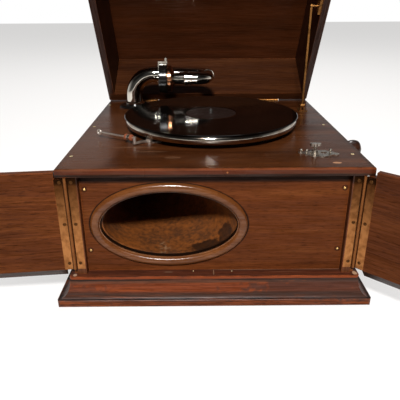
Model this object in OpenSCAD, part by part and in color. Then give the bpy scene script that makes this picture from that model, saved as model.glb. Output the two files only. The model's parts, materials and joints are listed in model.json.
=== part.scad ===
// Table gramophone in a wooden cabinet: lid, two front doors, oval horn mouth,
// spring motor under the deck, turntable, swan-neck tonearm with a throw-back crook,
// winding crank, brake lever and speed regulator.
// Front is -Y, right is +X, the origin is the middle of the base's underside.

/* [Deck and body] */
// Width of the deck board
deck_w = 440; // [420:1:500]
// Depth of the deck board
deck_d = 449; // [440:1:500]
// Height of the deck's top face above the table
deck_z = 215; // [205:1:260]
// Thickness of the deck board
deck_t = 12; // [9:0.5:16]
// How far the deck reaches past the side boards
deck_over = 11; // [6:0.5:13]
// How far the deck reaches past the back board
back_over = 9; // [4:0.5:14]
// Thickness of the side boards
side_t = 12; // [9:0.5:15]
// Width of each front post
post_w = 19; // [18:0.5:24]
// Depth of each front post
post_d = 19; // [19:0.5:26]
// How far the front panel lies behind the faces of the posts
panel_recess = 11; // [9:0.5:11]
// Thickness of the front panel
panel_t = 8; // [6:0.5:12]
// Thickness of the back board
back_t = 8; // [6:0.5:12]

/* [Base moulding] */
// How far the plinth reaches past the sides of the body
plinth_side = 27.4; // [22:0.2:34]
// How far the plinth reaches past the faces of the posts
plinth_front = 16.4; // [12:0.2:24]
// Height of the plinth's square edge
plinth_h = 12.2; // [8:0.2:16]
// Height of the sill's top face
sill_z = 48.5; // [44:0.5:54]
// Thickness of the sill
sill_t = 5; // [4:0.5:7]
// How far the sill reaches past the faces of the posts
sill_front = 8.3; // [6:0.1:9]
// How far the sill reaches past the sides of the body
sill_side = 7; // [5:0.5:8]
// Thickness of the bottom board
bottom_t = 9; // [6:0.5:11]

/* [Lid] */
// Outer height of the lid
lid_h = 128; // [124:1:150]
// Thickness of the lid's front and side walls
lid_wall = 13; // [9:0.5:16]
// Thickness of the lid's back wall
lid_back = 17; // [13:0.5:18]
// Thickness of the lid's top board
lid_top_t = 10; // [7:0.5:12]
// How far the lid's top board reaches past the walls
lid_lip = 3; // [1:0.5:5]
// Angle at which the lid stands open
lid_open = 58; // [50:1:62]
// Distance of each lid hinge's middle from the lid's end
lid_hinge_in = 86; // [70:1:120]
// Length of each lid hinge
lid_hinge_w = 46; // [34:1:60]
// Height of the lid hinges' leaves
lid_leaf_h = 19; // [14:0.5:26]

/* [Lid stay] */
// Distance of the stay from the inner face of the lid's wall
stay_in = 17; // [13:0.5:21]
// Distance of the stay's foot from the deck's back edge
stay_back = 97; // [91:1:104]
// Length of the stay between its two pins
stay_len = 188; // [180:1:192]
// Angle of the open stay from upright, towards the front
stay_lean = 2.4; // [1:0.2:4]
// Radius of the stay's pins
stay_pin_r = 2; // [1.5:0.1:2.5]
// Height of the stay's lower pin above the deck
stay_up = 9; // [7:0.5:12]
// Length of the stay bracket's foot
stay_foot_l = 28; // [24:1:34]

/* [Doors] */
// Thickness of the doors
door_t = 12; // [10:0.5:13]
// Space between a closed door and the post
door_gap = 1.5; // [1.2:0.1:2]
// How far a closed door reaches up past the deck's underside
door_up = 8; // [4:0.5:10]
// Drop of the bevel along the foot of each door
door_bevel = 14.8; // [8:0.2:16]
// Space between the two doors when closed
door_meet = 1.2; // [0.6:0.1:3]
// Angle at which the left door stands open
left_open = 174; // [100:1:176]
// Angle at which the right door stands open
right_open = 137; // [100:1:176]
// Width of a hinge leaf
leaf_w = 15; // [12:0.5:17]
// Thickness of a hinge leaf
leaf_t = 1.5; // [1:0.1:2]
// Radius of the hinge knuckles
knuckle_r = 2.4; // [2:0.1:2.5]
// Radius of the hinge pins
hinge_pin_r = 1.1; // [0.8:0.1:1.4]
// Knuckles in each door hinge
knuckles = 5; // [3:2:21]
// Radius of the door pulls
pull_r = 8; // [6:0.5:11]

/* [Horn] */
// Half width of the horn's mouth
mouth_a = 98; // [85:1:104]
// Half height of the horn's mouth
mouth_b = 50; // [42:1:52]
// Distance from the left post to the horn's mouth
mouth_in = 26; // [18:1:36]
// Height of the mouth's middle above the sill
mouth_up = 75.5; // [72:0.5:79]
// Width of the moulded ring round the mouth
ring_w = 15; // [10:0.5:16]
// How far the ring stands out of the front panel
ring_out = 6; // [4:0.5:8]
// Wall of the horn
horn_t = 2.5; // [2:0.5:3]

/* [Turntable] */
// Radius of the platter
platter_r = 150; // [120:1:152]
// Height of the platter's rim
rim_h = 14; // [10:0.5:18]
// Space between the deck and the platter's rim
platter_lift = 8.7; // [7:0.1:12]
// How far the record reaches past the platter
record_over = 2; // [0.5:0.5:3]
// Thickness of the record
record_t = 2; // [1.5:0.1:3]
// Radius of the record's label
label_r = 44; // [35:1:50]
// Radius of the spindle
spindle_r = 3.6; // [3:0.1:4.5]
// Distance of the spindle behind the deck's middle
spindle_back = 0.5; // [-6:0.5:6]

/* [Tonearm] */
// Distance of the tonearm's upright axis from the deck's left edge
arm_in = 64; // [58:0.5:70]
// Distance of the tonearm's upright axis from the deck's back edge
arm_back = 52; // [51:0.5:60]
// Height of the arm's tube above the deck
arm_h = 66; // [62:0.5:72]
// Radius of the elbow's tube
elbow_r = 16.5; // [14:0.5:18]
// Radius of the elbow's bend
elbow_bend = 42; // [34:1:44]
// Radius of the crook's tube
crook_r = 12; // [9:0.5:13]
// Radius of the crook's bends
crook_bend = 22; // [18:0.5:24]
// Distance from the upright axis to the crook's swivel
arm_reach = 153.5; // [140:0.5:160]
// Distance between the arm's tube and the crook's return leg
crook_gap = 54; // [50:0.5:60]
// Wall of the tonearm's tubes
tube_t = 2; // [1:0.5:3]
// Radius of the sound box
box_r = 28.5; // [24:0.5:30]
// Depth of the sound box
box_t = 27; // [22:0.5:30]
// Depth of the bright ring behind the sound box's body
box_ring = 12; // [8:0.5:14]
// Distance from the crook's swivel to the sound box's back
box_x = 68.5; // [60:0.5:76]
// Running clearance of pins and spigots
run_fit = 0.07; // [0.03:0.01:0.1]

/* [Motor] */
// Radius of the spring barrel
drum_r = 33; // [26:0.5:34]
// Teeth on the barrel's great wheel
great_teeth = 96; // [80:16:112]
// Teeth on the spindle's pinion
pinion_teeth = 16; // [16:16:16]
// Distance between the spindle and the barrel
barrel_x = 60; // [58:0.5:64]
// Height of the motor between its plates
motor_h = 78; // [74:1:82]
// Thickness of the motor's plates
plate_t = 3; // [2:0.5:4]
// Radius of the motor's pillars
pillar_r = 4; // [3:0.5:5]

/* [Crank] */
// Radius of the crank's shaft
crank_r = 4; // [3:0.5:5]
// Length of the crank's arm
crank_len = 74; // [56:1:75]
// Angle of the crank's arm from upright, towards the front
crank_turn = 14; // [0:1:40]
// Radius of the crank's grip
grip_r = 17; // [12:0.5:17.5]
// Length of the crank's grip
grip_len = 38; // [28:1:60]

/* [Controls] */
// How far the brake's pivot lies in from the platter's rim
brake_in = 10; // [7:0.5:13]
// Distance from the brake's pivot to its pad
brake_arm = 33; // [31:0.5:35]
// Length of the brake's handle past the pad
brake_handle = 62; // [50:1:64]
// Height of the brake's pad above the deck
brake_h = 11; // [9:0.5:12]
// Distance of the speed regulator from the deck's right edge
speed_in = 71; // [66:1:76]
// Distance of the speed regulator from the deck's front edge
speed_y = 60; // [52:1:70]
// Height of the speed regulator's thumb nut
speed_h = 15; // [12:0.5:20]

/* [Hidden] */
$fn = 64;

walnut = "#5a2f1b";
oak = "#7a4424";
brass = "#b58a4a";
nickel = "#c9c6bd";
black = "#151414";
steel = "#8c8f92";

seat = 0.3;                                   // running gap between faces that pass
eps = 0.01;                                   // overlap that keeps a cut clean
fy = -(deck_d - plinth_front) / 2;            // deck's front edge
post_y = fy;                                  // faces of the posts
back_y = fy + deck_d - back_over;             // outer face of the body's back
base_front = post_y - plinth_front;
base_back = fy + deck_d;
body_x = deck_w / 2 - deck_over;              // outer faces of the sides
under = deck_z - deck_t;                      // deck's underside
panel_y = post_y + panel_recess;              // face of the front panel
panel_x = body_x - post_w;                    // half width of the front panel
plinth_x = body_x + plinth_side;
sill_x = body_x + sill_side;
sill_y = post_y - sill_front;
cove_z = sill_z - sill_t;                     // top of the hollow moulding

hinge_x = body_x - 2.5;                       // axis of each door hinge
hinge_y = post_y - door_gap / 2;
edge_in = knuckle_r + 0.6;                    // door's edge from the hinge axis
relief = 3.5;                                 // depth cut from the post's outer corner
door_z0 = sill_z + 9;                         // foot of a door's inner face
door_z1 = under + door_up;
leaf_z0 = door_z0 + 0.5;
leaf_z1 = under - 1;
door_w = hinge_x - edge_in - door_meet / 2;
door_y0 = post_y - door_gap - door_t;         // outer and inner faces of a closed door
door_y1 = post_y - door_gap;
foot_in = hinge_x - body_x + sill_side + 9.5; // where the bevelled lip begins, from the axis
head_in = deck_w / 2 - hinge_x + 0.8;           // where the head rises past the deck

mouth_x = mouth_a + mouth_in - panel_x;
mouth_z = sill_z + mouth_up;

lid_axis_y = base_back + knuckle_r + 0.2;
lid_hinge_x = deck_w / 2 - lid_hinge_in;
lid_axis_z = deck_z + 0.4;
lid_rim = deck_z + 0.4;                       // lid's rim when shut
lid_side_x = deck_w / 2 - lid_wall;           // inner faces of the lid's sides
lid_inner_back = base_back - lid_back;

stay_x = lid_side_x - stay_in;
record_r = platter_r + record_over;
record_z = deck_z + platter_lift + rim_h;     // underside of the record
spindle_top = record_z + record_t + 8;
sy = fy + deck_d / 2 + spindle_back;
arm_px = arm_in - deck_w / 2;
arm_py = base_back - arm_back;
arm_z = deck_z + arm_h;
base_r = 33;                                  // tonearm's flange
base_t = 5;
spigot_r = 12;
spigot_h = 14;
swivel_x = arm_px + arm_reach;
leg_y = arm_py - crook_gap;
swivel_r = crook_r - tube_t - 0.5;
box_back = swivel_x - box_x;
needle_reach = arm_z - (record_z + record_t) - seat;

motor_z1 = under;                             // top face of the motor's top plate
motor_z0 = motor_z1 - plate_t;
motor_b1 = motor_z0 - motor_h;                // top face of the bottom plate
motor_b0 = motor_b1 - plate_t;
gear_m = 2 * barrel_x / (great_teeth + pinion_teeth);
great_z = motor_z0 - 9;
great_t = 4;
speed_wheel_teeth = 60;
governor_teeth = 12;
governor_m = 0.8;
governor_x = -governor_m * (speed_wheel_teeth + governor_teeth) / 2;
governor_z = great_z - 10;
arbor_r = 5;
crown_teeth = 48;
crown_m = 1.25;
crown_r = crown_m * crown_teeth / 2;
crank_teeth = 12;
crank_pitch = crown_m * crank_teeth / 2;
crown_z = motor_b0 - 3.2;                     // upper face of the crown wheel
crown_disc = 3;
crown_tooth = 2.7;
crown_face = 4;                               // width of the crown wheel's teeth
crank_z = crown_z - crown_disc - crank_pitch - 1.24 * crown_m;
crank_tip_x = deck_w / 2 + 8.4;               // outer face of the crank's arm
grip_gap = 1;

// Places its children as the left door stands, from the shut position
module left_swing() {
    translate([-hinge_x, hinge_y, 0])
        rotate([0, 0, -left_open])
            translate([hinge_x, -hinge_y, 0])
                children();
}

// Places its children, drawn for the left door, as the right door stands
module right_swing() {
    translate([hinge_x, hinge_y, 0])
        rotate([0, 0, right_open])
            translate([-hinge_x, -hinge_y, 0])
                mirror([1, 0, 0])
                    children();
}

// Places its children as the open lid stands, from the shut position
module lid_swing() {
    translate([0, lid_axis_y, lid_axis_z])
        rotate([-lid_open, 0, 0])
            translate([0, -lid_axis_y, -lid_axis_z])
                children();
}

// Board from its lowest corner, with its edges along Z rounded
module board(x0, x1, y0, y1, z0, z1, r = 1) {
    translate([0, 0, z0])
        linear_extrude(z1 - z0)
            polygon([
                [x0 + r, y0], [x1 - r, y0], [x1, y0 + r], [x1, y1 - r],
                [x1 - r, y1], [x0 + r, y1], [x0, y1 - r], [x0, y0 + r]
            ]);
}

// Profile of the base: x is the reach past the body, y the height
function base_profile(out, top, n = 12) = concat(
    [[top, cove_z]],
    [
        for (i = [1 : n]) let (a = 90 * i / n)
            [top + (out - 1.5 - top) * (1 - cos(a)), cove_z - (cove_z - plinth_h) * sin(a)]
    ],
    [[out - 0.8, plinth_h], [out, plinth_h - 0.8], [out, 1.6], [out - 1.6, 0]]
);

// Ellipse with half axes a and b
function ellipse(a, b, n = 96) = [for (i = [0 : n - 1]) [a * cos(360 * i / n), b * sin(360 * i / n)]];

// Toothed outline of n teeth and module m
function gear(n, m, thin = 0.86) = [
    for (i = [0 : n - 1])
        for (p = [[-0.62, -1.2], [-0.22, 0.85], [0.22, 0.85], [0.62, -1.2]])
            let (a = 360 / n * (i + p[0] * 0.5 * thin), r = m * n / 2 + p[1] * m)
                [r * cos(a), r * sin(a)]
];

// Closed shell through rings of points, each ring with the same number of points
module loft(rings) {
    n = len(rings[0]);
    m = len(rings);
    points = [for (r = rings) for (p = r) p];
    sides = [
        for (j = [0 : m - 1]) for (i = [0 : n - 1])
            let (a = j * n + i, b = j * n + (i + 1) % n,
                 c = ((j + 1) % m) * n + (i + 1) % n, d = ((j + 1) % m) * n + i)
                each [[a, b, c], [a, c, d]]
    ];
    polyhedron(points, sides);
}

// ---------- cabinet ----------

// Base ring: the front profile and the two side profiles meet at the corners
module plinth() {
    color(walnut)
        difference() {
            intersection() {
                translate([0, post_y, 0])
                    rotate([90, 0, 90])
                        linear_extrude(2 * plinth_x, center = true)
                            polygon(concat(
                                [[deck_d, 0], [deck_d, cove_z]],
                                [for (p = base_profile(plinth_front, sill_front - 1)) [-p[0], p[1]]]
                            ));
                translate([0, base_back, 0])
                    rotate([90, 0, 0])
                        linear_extrude(base_back - base_front)
                            polygon(concat(
                                side_half,
                                [for (i = [len(side_half) - 1 : -1 : 0]) [-side_half[i][0], side_half[i][1]]]
                            ));
                linear_extrude(cove_z)
                    polygon([
                        [-plinth_x, base_back], [-plinth_x, base_front + 5], [-plinth_x + 1.5, base_front + 1.5],
                        [-plinth_x + 5, base_front], [plinth_x - 5, base_front], [plinth_x - 1.5, base_front + 1.5],
                        [plinth_x, base_front + 5], [plinth_x, base_back]
                    ]);
            }
            translate([-body_x + side_t, post_y + post_d, -1])
                cube([2 * (body_x - side_t), back_y - back_t - post_y - post_d, cove_z + 2]);
        }
}

// Right half of the base's side profile, from the top downwards
side_half = [for (p = base_profile(plinth_side, sill_side - 1)) [body_x + p[0], p[1]]];

module bottom_board() {
    color(oak)
        board(-body_x + side_t, body_x - side_t, post_y + post_d, back_y - back_t, 0, bottom_t, 0.5);
}

// Flat board on the base, with a rounded front edge and corners
module sill() {
    round = 5;
    color(walnut)
        difference() {
            for (k = [[0, 0.6, 0.7], [0.5, 0, sill_t - 1.5], [sill_t - 1.5, 0.35, sill_t - 0.6], [sill_t - 1.5, 1, sill_t]])
                translate([0, 0, cove_z + (k[0] > 1 ? 0 : k[0])])
                    linear_extrude(k[2] - (k[0] > 1 ? 0 : k[0]))
                        polygon([
                            [-sill_x + k[1], base_back], [-sill_x + k[1], sill_y + round],
                            [-sill_x + 1.5 + k[1], sill_y + 1.5 + k[1]], [-sill_x + round, sill_y + k[1]],
                            [sill_x - round, sill_y + k[1]], [sill_x - 1.5 - k[1], sill_y + 1.5 + k[1]],
                            [sill_x - k[1], sill_y + round], [sill_x - k[1], base_back]
                        ]);
            translate([-body_x + side_t, post_y + post_d, cove_z - 1])
                cube([2 * (body_x - side_t), back_y - back_t - post_y - post_d, sill_t + 2]);
        }
}

module left_side() {
    color(walnut)
        board(-body_x, -body_x + side_t, post_y + post_d, back_y, sill_z, under, 0.5);
}

module right_side() {
    color(walnut)
        difference() {
            board(body_x - side_t, body_x, post_y + post_d, back_y, sill_z, under, 0.5);
            translate([body_x - side_t - 1, sy, crank_z])
                rotate([0, 90, 0])
                    cylinder(r = crank_r + 5, h = side_t + 2);
        }
}

module back_board() {
    color(oak)
        board(-body_x + side_t, body_x - side_t, back_y - back_t, back_y, sill_z, under, 0.5);
}

// Front post drawn for the left, with its mortise for the hinge leaf
module post() {
    difference() {
        board(-body_x, -body_x + post_w, post_y, post_y + post_d, sill_z, under, 0.6);
        translate([-body_x - 1, post_y - 1, sill_z - 1])
            cube([body_x + 1 - hinge_x + edge_in, relief + 1, under - sill_z + 2]);
        translate([-hinge_x, post_y - 1, leaf_z0])
            cube([leaf_w, leaf_t + 1, leaf_z1 - leaf_z0]);
    }
}

module left_post() {
    color(walnut) post();
}

module right_post() {
    color(walnut) mirror([1, 0, 0]) post();
}

module front_panel() {
    color(oak)
        translate([0, panel_y + panel_t, sill_z])
            rotate([90, 0, 0])
                linear_extrude(panel_t)
                    difference() {
                        translate([-panel_x, 0]) square([2 * panel_x, under - sill_z]);
                        translate([mouth_x, mouth_z - sill_z])
                            polygon(ellipse(mouth_a + 2, mouth_b + 2));
                    }
}

ring_flat = 0.87;                             // ring's height over its width at the ends

// Section of the ring round the mouth: [reach from the mouth's edge, depth]
function ring_section() = [
    [0, 4], [0, 0.5], [ring_w * 0.06, -ring_out * 0.45], [ring_w * 0.25, -ring_out * 0.86],
    [ring_w * 0.5, -ring_out], [ring_w * 0.75, -ring_out * 0.86], [ring_w * 0.94, -ring_out * 0.45],
    [ring_w, 0], [1.8, 0], [1.8, 4]
];

module mouth_ring() {
    n = 64;
    color(walnut)
        loft([
            for (s = ring_section())
                [for (i = [0 : n - 1]) let (a = -360 * i / n)
                    [
                        mouth_x + (mouth_a + s[0]) * cos(a), panel_y + s[1],
                        mouth_z + (mouth_b + s[0] * ring_flat) * sin(a)
                    ]]
        ]);
}

// Horn: from the mouth back and up to the throat under the tonearm.
// t is 0 at the mouth and 1 at the throat.
function horn_mid(t) = [
    mouth_x + (arm_px - mouth_x) * sin(90 * min(1, t * 1.6)),
    panel_y + panel_t + 0.2 + (arm_py - panel_y - panel_t) * sin(90 * pow(t, 0.92)),
    mouth_z + (under - mouth_z) * pow(t, 5)
];
throat_r = 15;
function horn_a(t) = throat_r + (mouth_a - throat_r) * pow(1 - t, 2.4);
function horn_b(t) = throat_r + (mouth_b - throat_r) * pow(1 - t, 1.15);
function horn_lean(t) = 90 * pow(t, 3.2);
function horn_ring(t, grow, n) = let (c = horn_mid(t), l = horn_lean(t)) [
    for (i = [0 : n - 1]) let (u = -360 * i / n, x = (horn_a(t) + grow) * cos(u), z = (horn_b(t) + grow) * sin(u))
        [c[0] + x, c[1] - z * sin(l), c[2] + z * cos(l)]
];

module horn() {
    n = 36;
    steps = 14;
    color(oak)
        loft(concat(
            [for (j = [0 : steps]) horn_ring(j / steps, 0, n)],
            [for (j = [steps : -1 : 0]) horn_ring(j / steps, horn_t, n)]
        ));
}

module deck() {
    round = 3;
    color(walnut)
        difference() {
            translate([0, fy + deck_d / 2, under])
                union() {
                    linear_extrude(deck_t - round)
                        square([deck_w, deck_d], center = true);
                    for (i = [0 : 5])
                        translate([0, 0, deck_t - round])
                            linear_extrude(round * sin(15 * (i + 1)))
                                square([deck_w, deck_d] - 2 * round * (1 - cos(15 * i + 7)) * [1, 1], center = true);
                }
            translate([0, sy, under - 1])
                cylinder(r = 12, h = deck_t + 2);
            translate([arm_px, arm_py, under - 1])
                cylinder(r = spigot_r - tube_t, h = deck_t + 2);
            translate([speed_x, fy + speed_y, under - 1])
                cylinder(r = 4, h = deck_t + 2);
        }
}

// Dome-headed pin with its shank, head at the origin, shank along -Z
module pin_head(r, h, shank_r, shank) {
    rotate_extrude($fn = 24)
        polygon([[0, -shank], [shank_r, -shank], [shank_r, 0], [r, 0], [r * 0.86, h * 0.6], [r * 0.5, h * 0.93], [0, h]]);
}

pin_in = 6.3;                                 // panel's pins from its ends
pin_drop = 22;                                // upper pins from the deck
pin_rise = 35;                                // lower pins from the sill
pin_spots = [
    [pin_in - panel_x, under - pin_drop], [pin_in - panel_x, sill_z + pin_rise],
    [panel_x - pin_in, under - pin_drop], [panel_x - pin_in, sill_z + pin_rise]
];

module panel_pins() {
    color(brass)
        for (p = pin_spots)
            translate([p[0], panel_y, p[1]])
                rotate([90, 0, 0])
                    pin_head(2.2, 1.4, 0.9, 6);
}

screw_h = 0.9;                                // domed head of a deck screw
screw_proud = 0.25;                           // how far it stands above the deck
screw_in = 10.5;                              // deck's screws from its edges
screw_x = deck_w / 2 - screw_in;
deck_screw_spots = [
    [-screw_x, 57], [-screw_x, deck_d / 2 + 2], [-screw_x - 3, deck_d - 40],
    [screw_x - 5, 59], [screw_x - 5, deck_d / 2 + 6]
];

module deck_screws() {
    color(brass)
        for (p = deck_screw_spots)
            translate([p[0], fy + p[1], deck_z + screw_proud - screw_h])
                pin_head(3, screw_h, 1.4, 10);
}

// ---------- doors ----------

// Left door as it stands shut: the foot is bevelled to pass the sill
module door_panel() {
    x0 = -hinge_x + edge_in;
    x1 = -door_meet / 2;
    difference() {
        intersection() {
            translate([x0, 0, 0])
                rotate([90, 0, 90])
                    linear_extrude(x1 - x0)
                        polygon([
                            [door_y0, door_z0 - door_bevel], [door_y1, door_z0], [door_y1, door_z1 - 1],
                            [door_y1 - 1, door_z1], [door_y0 + 2, door_z1], [door_y0, door_z1 - 2]
                        ]);
            board(x0, x1, door_y0, door_y1, 0, deck_z, 0.8);
        }
        translate([x0 - 1, door_y0 - 1, door_z0 - door_bevel - 1])
            cube([foot_in - edge_in + 1, door_t + 2, door_bevel + 1]);
        translate([x0 - 1, door_y0 - 1, under - 1.4])
            cube([head_in - edge_in + 1, door_t + 2, door_up + 5]);
        translate([-hinge_x, door_y1 - leaf_t, door_leaf_z0])
            cube([leaf_w, leaf_t + 1, door_leaf_z1 - door_leaf_z0]);
    }
}

door_leaf_z0 = door_z0 + 0.5;
door_leaf_z1 = under - 2;
knuckle_h = (leaf_z1 - leaf_z0) / knuckles;

// Cuts the room for the other leaf's knuckles; first is 0 or 1
module knuckle_room(first) {
    for (i = [first : 2 : knuckles - 1])
        translate([-hinge_x, hinge_y, leaf_z0 + i * knuckle_h - seat / 2])
            cylinder(r = knuckle_r + 0.4, h = knuckle_h + seat, $fn = 32);
}

// Leaf on the post, with its knuckles and the pin
module leaf_fixed() {
    difference() {
        union() {
            translate([-hinge_x, post_y, leaf_z0])
                cube([leaf_w, leaf_t, leaf_z1 - leaf_z0]);
            for (i = [0 : 2 : knuckles - 1])
                translate([-hinge_x, hinge_y, leaf_z0 + i * knuckle_h + seat / 2])
                    cylinder(r = knuckle_r, h = knuckle_h - seat, $fn = 32);
        }
        knuckle_room(1);
    }
    translate([-hinge_x, hinge_y, leaf_z0 + seat / 2])
        cylinder(r = hinge_pin_r, h = leaf_z1 - leaf_z0 - seat, $fn = 32);
}

// Leaf on the door, with its bored knuckles, as the door stands shut
module leaf_moving() {
    difference() {
        union() {
            translate([-hinge_x, door_y1 - leaf_t, door_leaf_z0])
                cube([leaf_w, leaf_t, door_leaf_z1 - door_leaf_z0]);
            for (i = [1 : 2 : knuckles - 1])
                translate([-hinge_x, hinge_y, leaf_z0 + i * knuckle_h + seat / 2])
                    cylinder(r = knuckle_r, h = knuckle_h - seat, $fn = 32);
        }
        knuckle_room(0);
        translate([-hinge_x, hinge_y, leaf_z0 - 1])
            cylinder(r = hinge_pin_r + run_fit, h = leaf_z1 - leaf_z0 + 2, $fn = 32);
    }
}

// Turned pull near the free edge, on the outer face
module pull() {
    translate([-22, door_y0, (door_z0 + door_z1) / 2])
        rotate([90, 0, 0])
            rotate_extrude($fn = 40)
                polygon([
                    [0, 0], [pull_r * 0.75, 0], [pull_r * 0.75, 1.5], [pull_r * 0.45, 3.5], [pull_r * 0.45, 7],
                    [pull_r * 0.8, 9], [pull_r, 12], [pull_r * 0.92, 15], [pull_r * 0.6, 17], [0, 17.5]
                ]);
}

module left_leaf_fixed() { color(brass) leaf_fixed(); }
module right_leaf_fixed() { color(brass) mirror([1, 0, 0]) leaf_fixed(); }
module left_door() { color(oak) left_swing() door_panel(); }
module left_leaf_moving() { color(brass) left_swing() leaf_moving(); }
module left_pull() { color(walnut) left_swing() pull(); }
module right_door() { color(oak) right_swing() door_panel(); }
module right_leaf_moving() { color(brass) right_swing() leaf_moving(); }
module right_pull() { color(walnut) right_swing() pull(); }

// ---------- lid ----------

lid_z1 = lid_rim + lid_h - lid_top_t;         // underside of the lid's top board

module lid_front() {
    color(walnut) lid_swing()
        board(-deck_w / 2, deck_w / 2, fy, fy + lid_wall, lid_rim, lid_z1, 2);
}

module lid_back_wall() {
    color(walnut) lid_swing()
        difference() {
            board(-deck_w / 2, deck_w / 2, lid_inner_back, base_back, lid_rim, lid_z1, 1);
            for (s = [-1, 1])
                translate([s * lid_hinge_x - lid_hinge_w / 2, base_back - leaf_t, lid_rim - 1])
                    cube([lid_hinge_w, leaf_t + 1, lid_leaf_h + 1.8]);
        }
}

module lid_left_wall() {
    color(walnut) lid_swing()
        board(-deck_w / 2, -lid_side_x, fy + lid_wall, lid_inner_back, lid_rim, lid_z1, 0.5);
}

module lid_right_wall() {
    color(walnut) lid_swing()
        board(lid_side_x, deck_w / 2, fy + lid_wall, lid_inner_back, lid_rim, lid_z1, 0.5);
}

module lid_top() {
    color(walnut) lid_swing()
        translate([0, fy + deck_d / 2, lid_z1]) {
            linear_extrude(lid_top_t * 0.45)
                square([deck_w + 2 * lid_lip, deck_d], center = true);
            for (i = [0 : 4])
                linear_extrude(lid_top_t * (0.45 + 0.55 * sin(18 * (i + 1))))
                    square([deck_w + 2 * lid_lip, deck_d] - 2 * lid_top_t * (1 - cos(18 * i + 9)) * [1, 1], center = true);
        }
}

// Knuckles of one lid hinge: part 0 is fixed to the cabinet, part 1 to the lid
module lid_knuckles(part) {
    n = 5;
    h = lid_hinge_w / n;
    for (i = [part : 2 : n - 1])
        translate([-lid_hinge_w / 2 + i * h + seat / 2, lid_axis_y, lid_axis_z])
            rotate([0, 90, 0])
                cylinder(r = knuckle_r, h = h - seat, $fn = 32);
}

module lid_knuckle_room(part) {
    n = 5;
    h = lid_hinge_w / n;
    for (i = [part : 2 : n - 1])
        translate([-lid_hinge_w / 2 + i * h - seat / 2, lid_axis_y, lid_axis_z])
            rotate([0, 90, 0])
                cylinder(r = knuckle_r + 0.4, h = h + seat, $fn = 32);
}

module lid_pin(r, extra = 0) {
    translate([-lid_hinge_w / 2 + seat / 2 - extra, lid_axis_y, lid_axis_z])
        rotate([0, 90, 0])
            cylinder(r = r, h = lid_hinge_w - seat + 2 * extra, $fn = 32);
}

module lid_hinge_fixed() {
    color(brass)
        for (s = [-1, 1])
            translate([s * lid_hinge_x, 0, 0]) {
                difference() {
                    union() {
                        lid_knuckles(0);
                        translate([-lid_hinge_w / 2, base_back, deck_z - deck_t])
                            cube([lid_hinge_w, leaf_t, deck_t + 0.2]);
                        translate([-lid_hinge_w / 2, base_back, lid_axis_z - 0.2 - leaf_t])
                            cube([lid_hinge_w, lid_axis_y - base_back, leaf_t]);
                    }
                    lid_knuckle_room(1);
                }
                lid_pin(hinge_pin_r);
            }
}

module lid_hinge_moving() {
    color(brass) lid_swing()
        for (s = [-1, 1])
            translate([s * lid_hinge_x, 0, 0])
                difference() {
                    union() {
                        lid_knuckles(1);
                        translate([-lid_hinge_w / 2, base_back - leaf_t, lid_rim + 0.4])
                            cube([lid_hinge_w, leaf_t, lid_leaf_h]);
                        translate([-lid_hinge_w / 2, base_back - leaf_t, lid_axis_z + 0.4])
                            cube([lid_hinge_w, lid_axis_y - base_back + leaf_t, leaf_t]);
                    }
                    lid_knuckle_room(0);
                    lid_pin(hinge_pin_r + run_fit, 2);
                }
}

// ---------- lid stay ----------

foot_y = base_back - stay_back;
foot_z = deck_z + stay_up;
stay_cheek = 4.4;                             // inner width between the bracket's cheeks
stay_bar = 3.4;                               // thickness of the stay's bar

module stay_bracket() {
    color(brass)
        difference() {
            union() {
                translate([stay_x - stay_foot_l * 0.29, foot_y - stay_foot_l / 2, deck_z])
                    cube([stay_foot_l * 0.58, stay_foot_l, 1.6]);
                for (s = [-1, 1])
                    translate([stay_x + s * (stay_cheek / 2 + 0.8), foot_y, foot_z])
                        rotate([0, 90, 0])
                            linear_extrude(1.6, center = true) {
                                circle(r = 5);
                                translate([0, -5]) square([foot_z - deck_z, 10]);
                            }
                translate([stay_x, foot_y, foot_z])
                    rotate([0, 90, 0])
                        cylinder(r = stay_pin_r, h = stay_cheek + 4.4, center = true, $fn = 32);
            }
            for (s = [-1, 1])
                translate([stay_x + s * stay_foot_l * 0.18, foot_y + s * stay_foot_l * 0.36, deck_z + 0.8])
                    cylinder(r = 1.6, h = 2, $fn = 24);
        }
}

module stay_place() {
    translate([stay_x, foot_y, foot_z])
        rotate([stay_lean, 0, 0])
            children();
}

module stay_rod() {
    color(brass) stay_place() {
        difference() {
            union() {
                rotate([0, 90, 0]) {
                    cylinder(r = 4.6, h = stay_bar, center = true, $fn = 32);
                    translate([-stay_len, 0, 0])
                        cylinder(r = 4.2, h = stay_bar, center = true, $fn = 32);
                }
                translate([-stay_bar / 2, -2.4, 0])
                    cube([stay_bar, 4.8, stay_len]);
            }
            rotate([0, 90, 0])
                cylinder(r = stay_pin_r + run_fit, h = stay_bar + 2, center = true, $fn = 32);
        }
        translate([0, 0, stay_len])
            rotate([0, 90, 0])
                cylinder(r = stay_pin_r, h = lid_side_x - stay_x - 1, $fn = 32);
    }
}

// Place of the stay's upper pin along and across the lid, from the hinge axis,
// for the lid's opening and the stay's lean
function pin_along(open, lean) =
    (lid_axis_y - foot_y + stay_len * sin(lean)) * cos(open) + (foot_z - lid_axis_z + stay_len * cos(lean)) * sin(open);
function pin_across(open, lean) =
    (foot_z - lid_axis_z + stay_len * cos(lean)) * cos(open) - (lid_axis_y - foot_y + stay_len * sin(lean)) * sin(open);
pin_room = stay_pin_r + 0.8;
pin_path = [for (k = [0 : 0.1 : 1]) [lid_open * (1 - k), stay_lean + (90 - stay_lean) * k]];
rail_u0 = min([for (p = pin_path) pin_along(p[0], p[1])]) - pin_room;
rail_u1 = max([for (p = pin_path) pin_along(p[0], p[1])]) + pin_room;
rail_w0 = min([for (p = pin_path) pin_across(p[0], p[1])]) - pin_room;
rail_w1 = max([for (p = pin_path) pin_across(p[0], p[1])]) + pin_room;
rail_t = 5.2;
rail_edge = 8;
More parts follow.
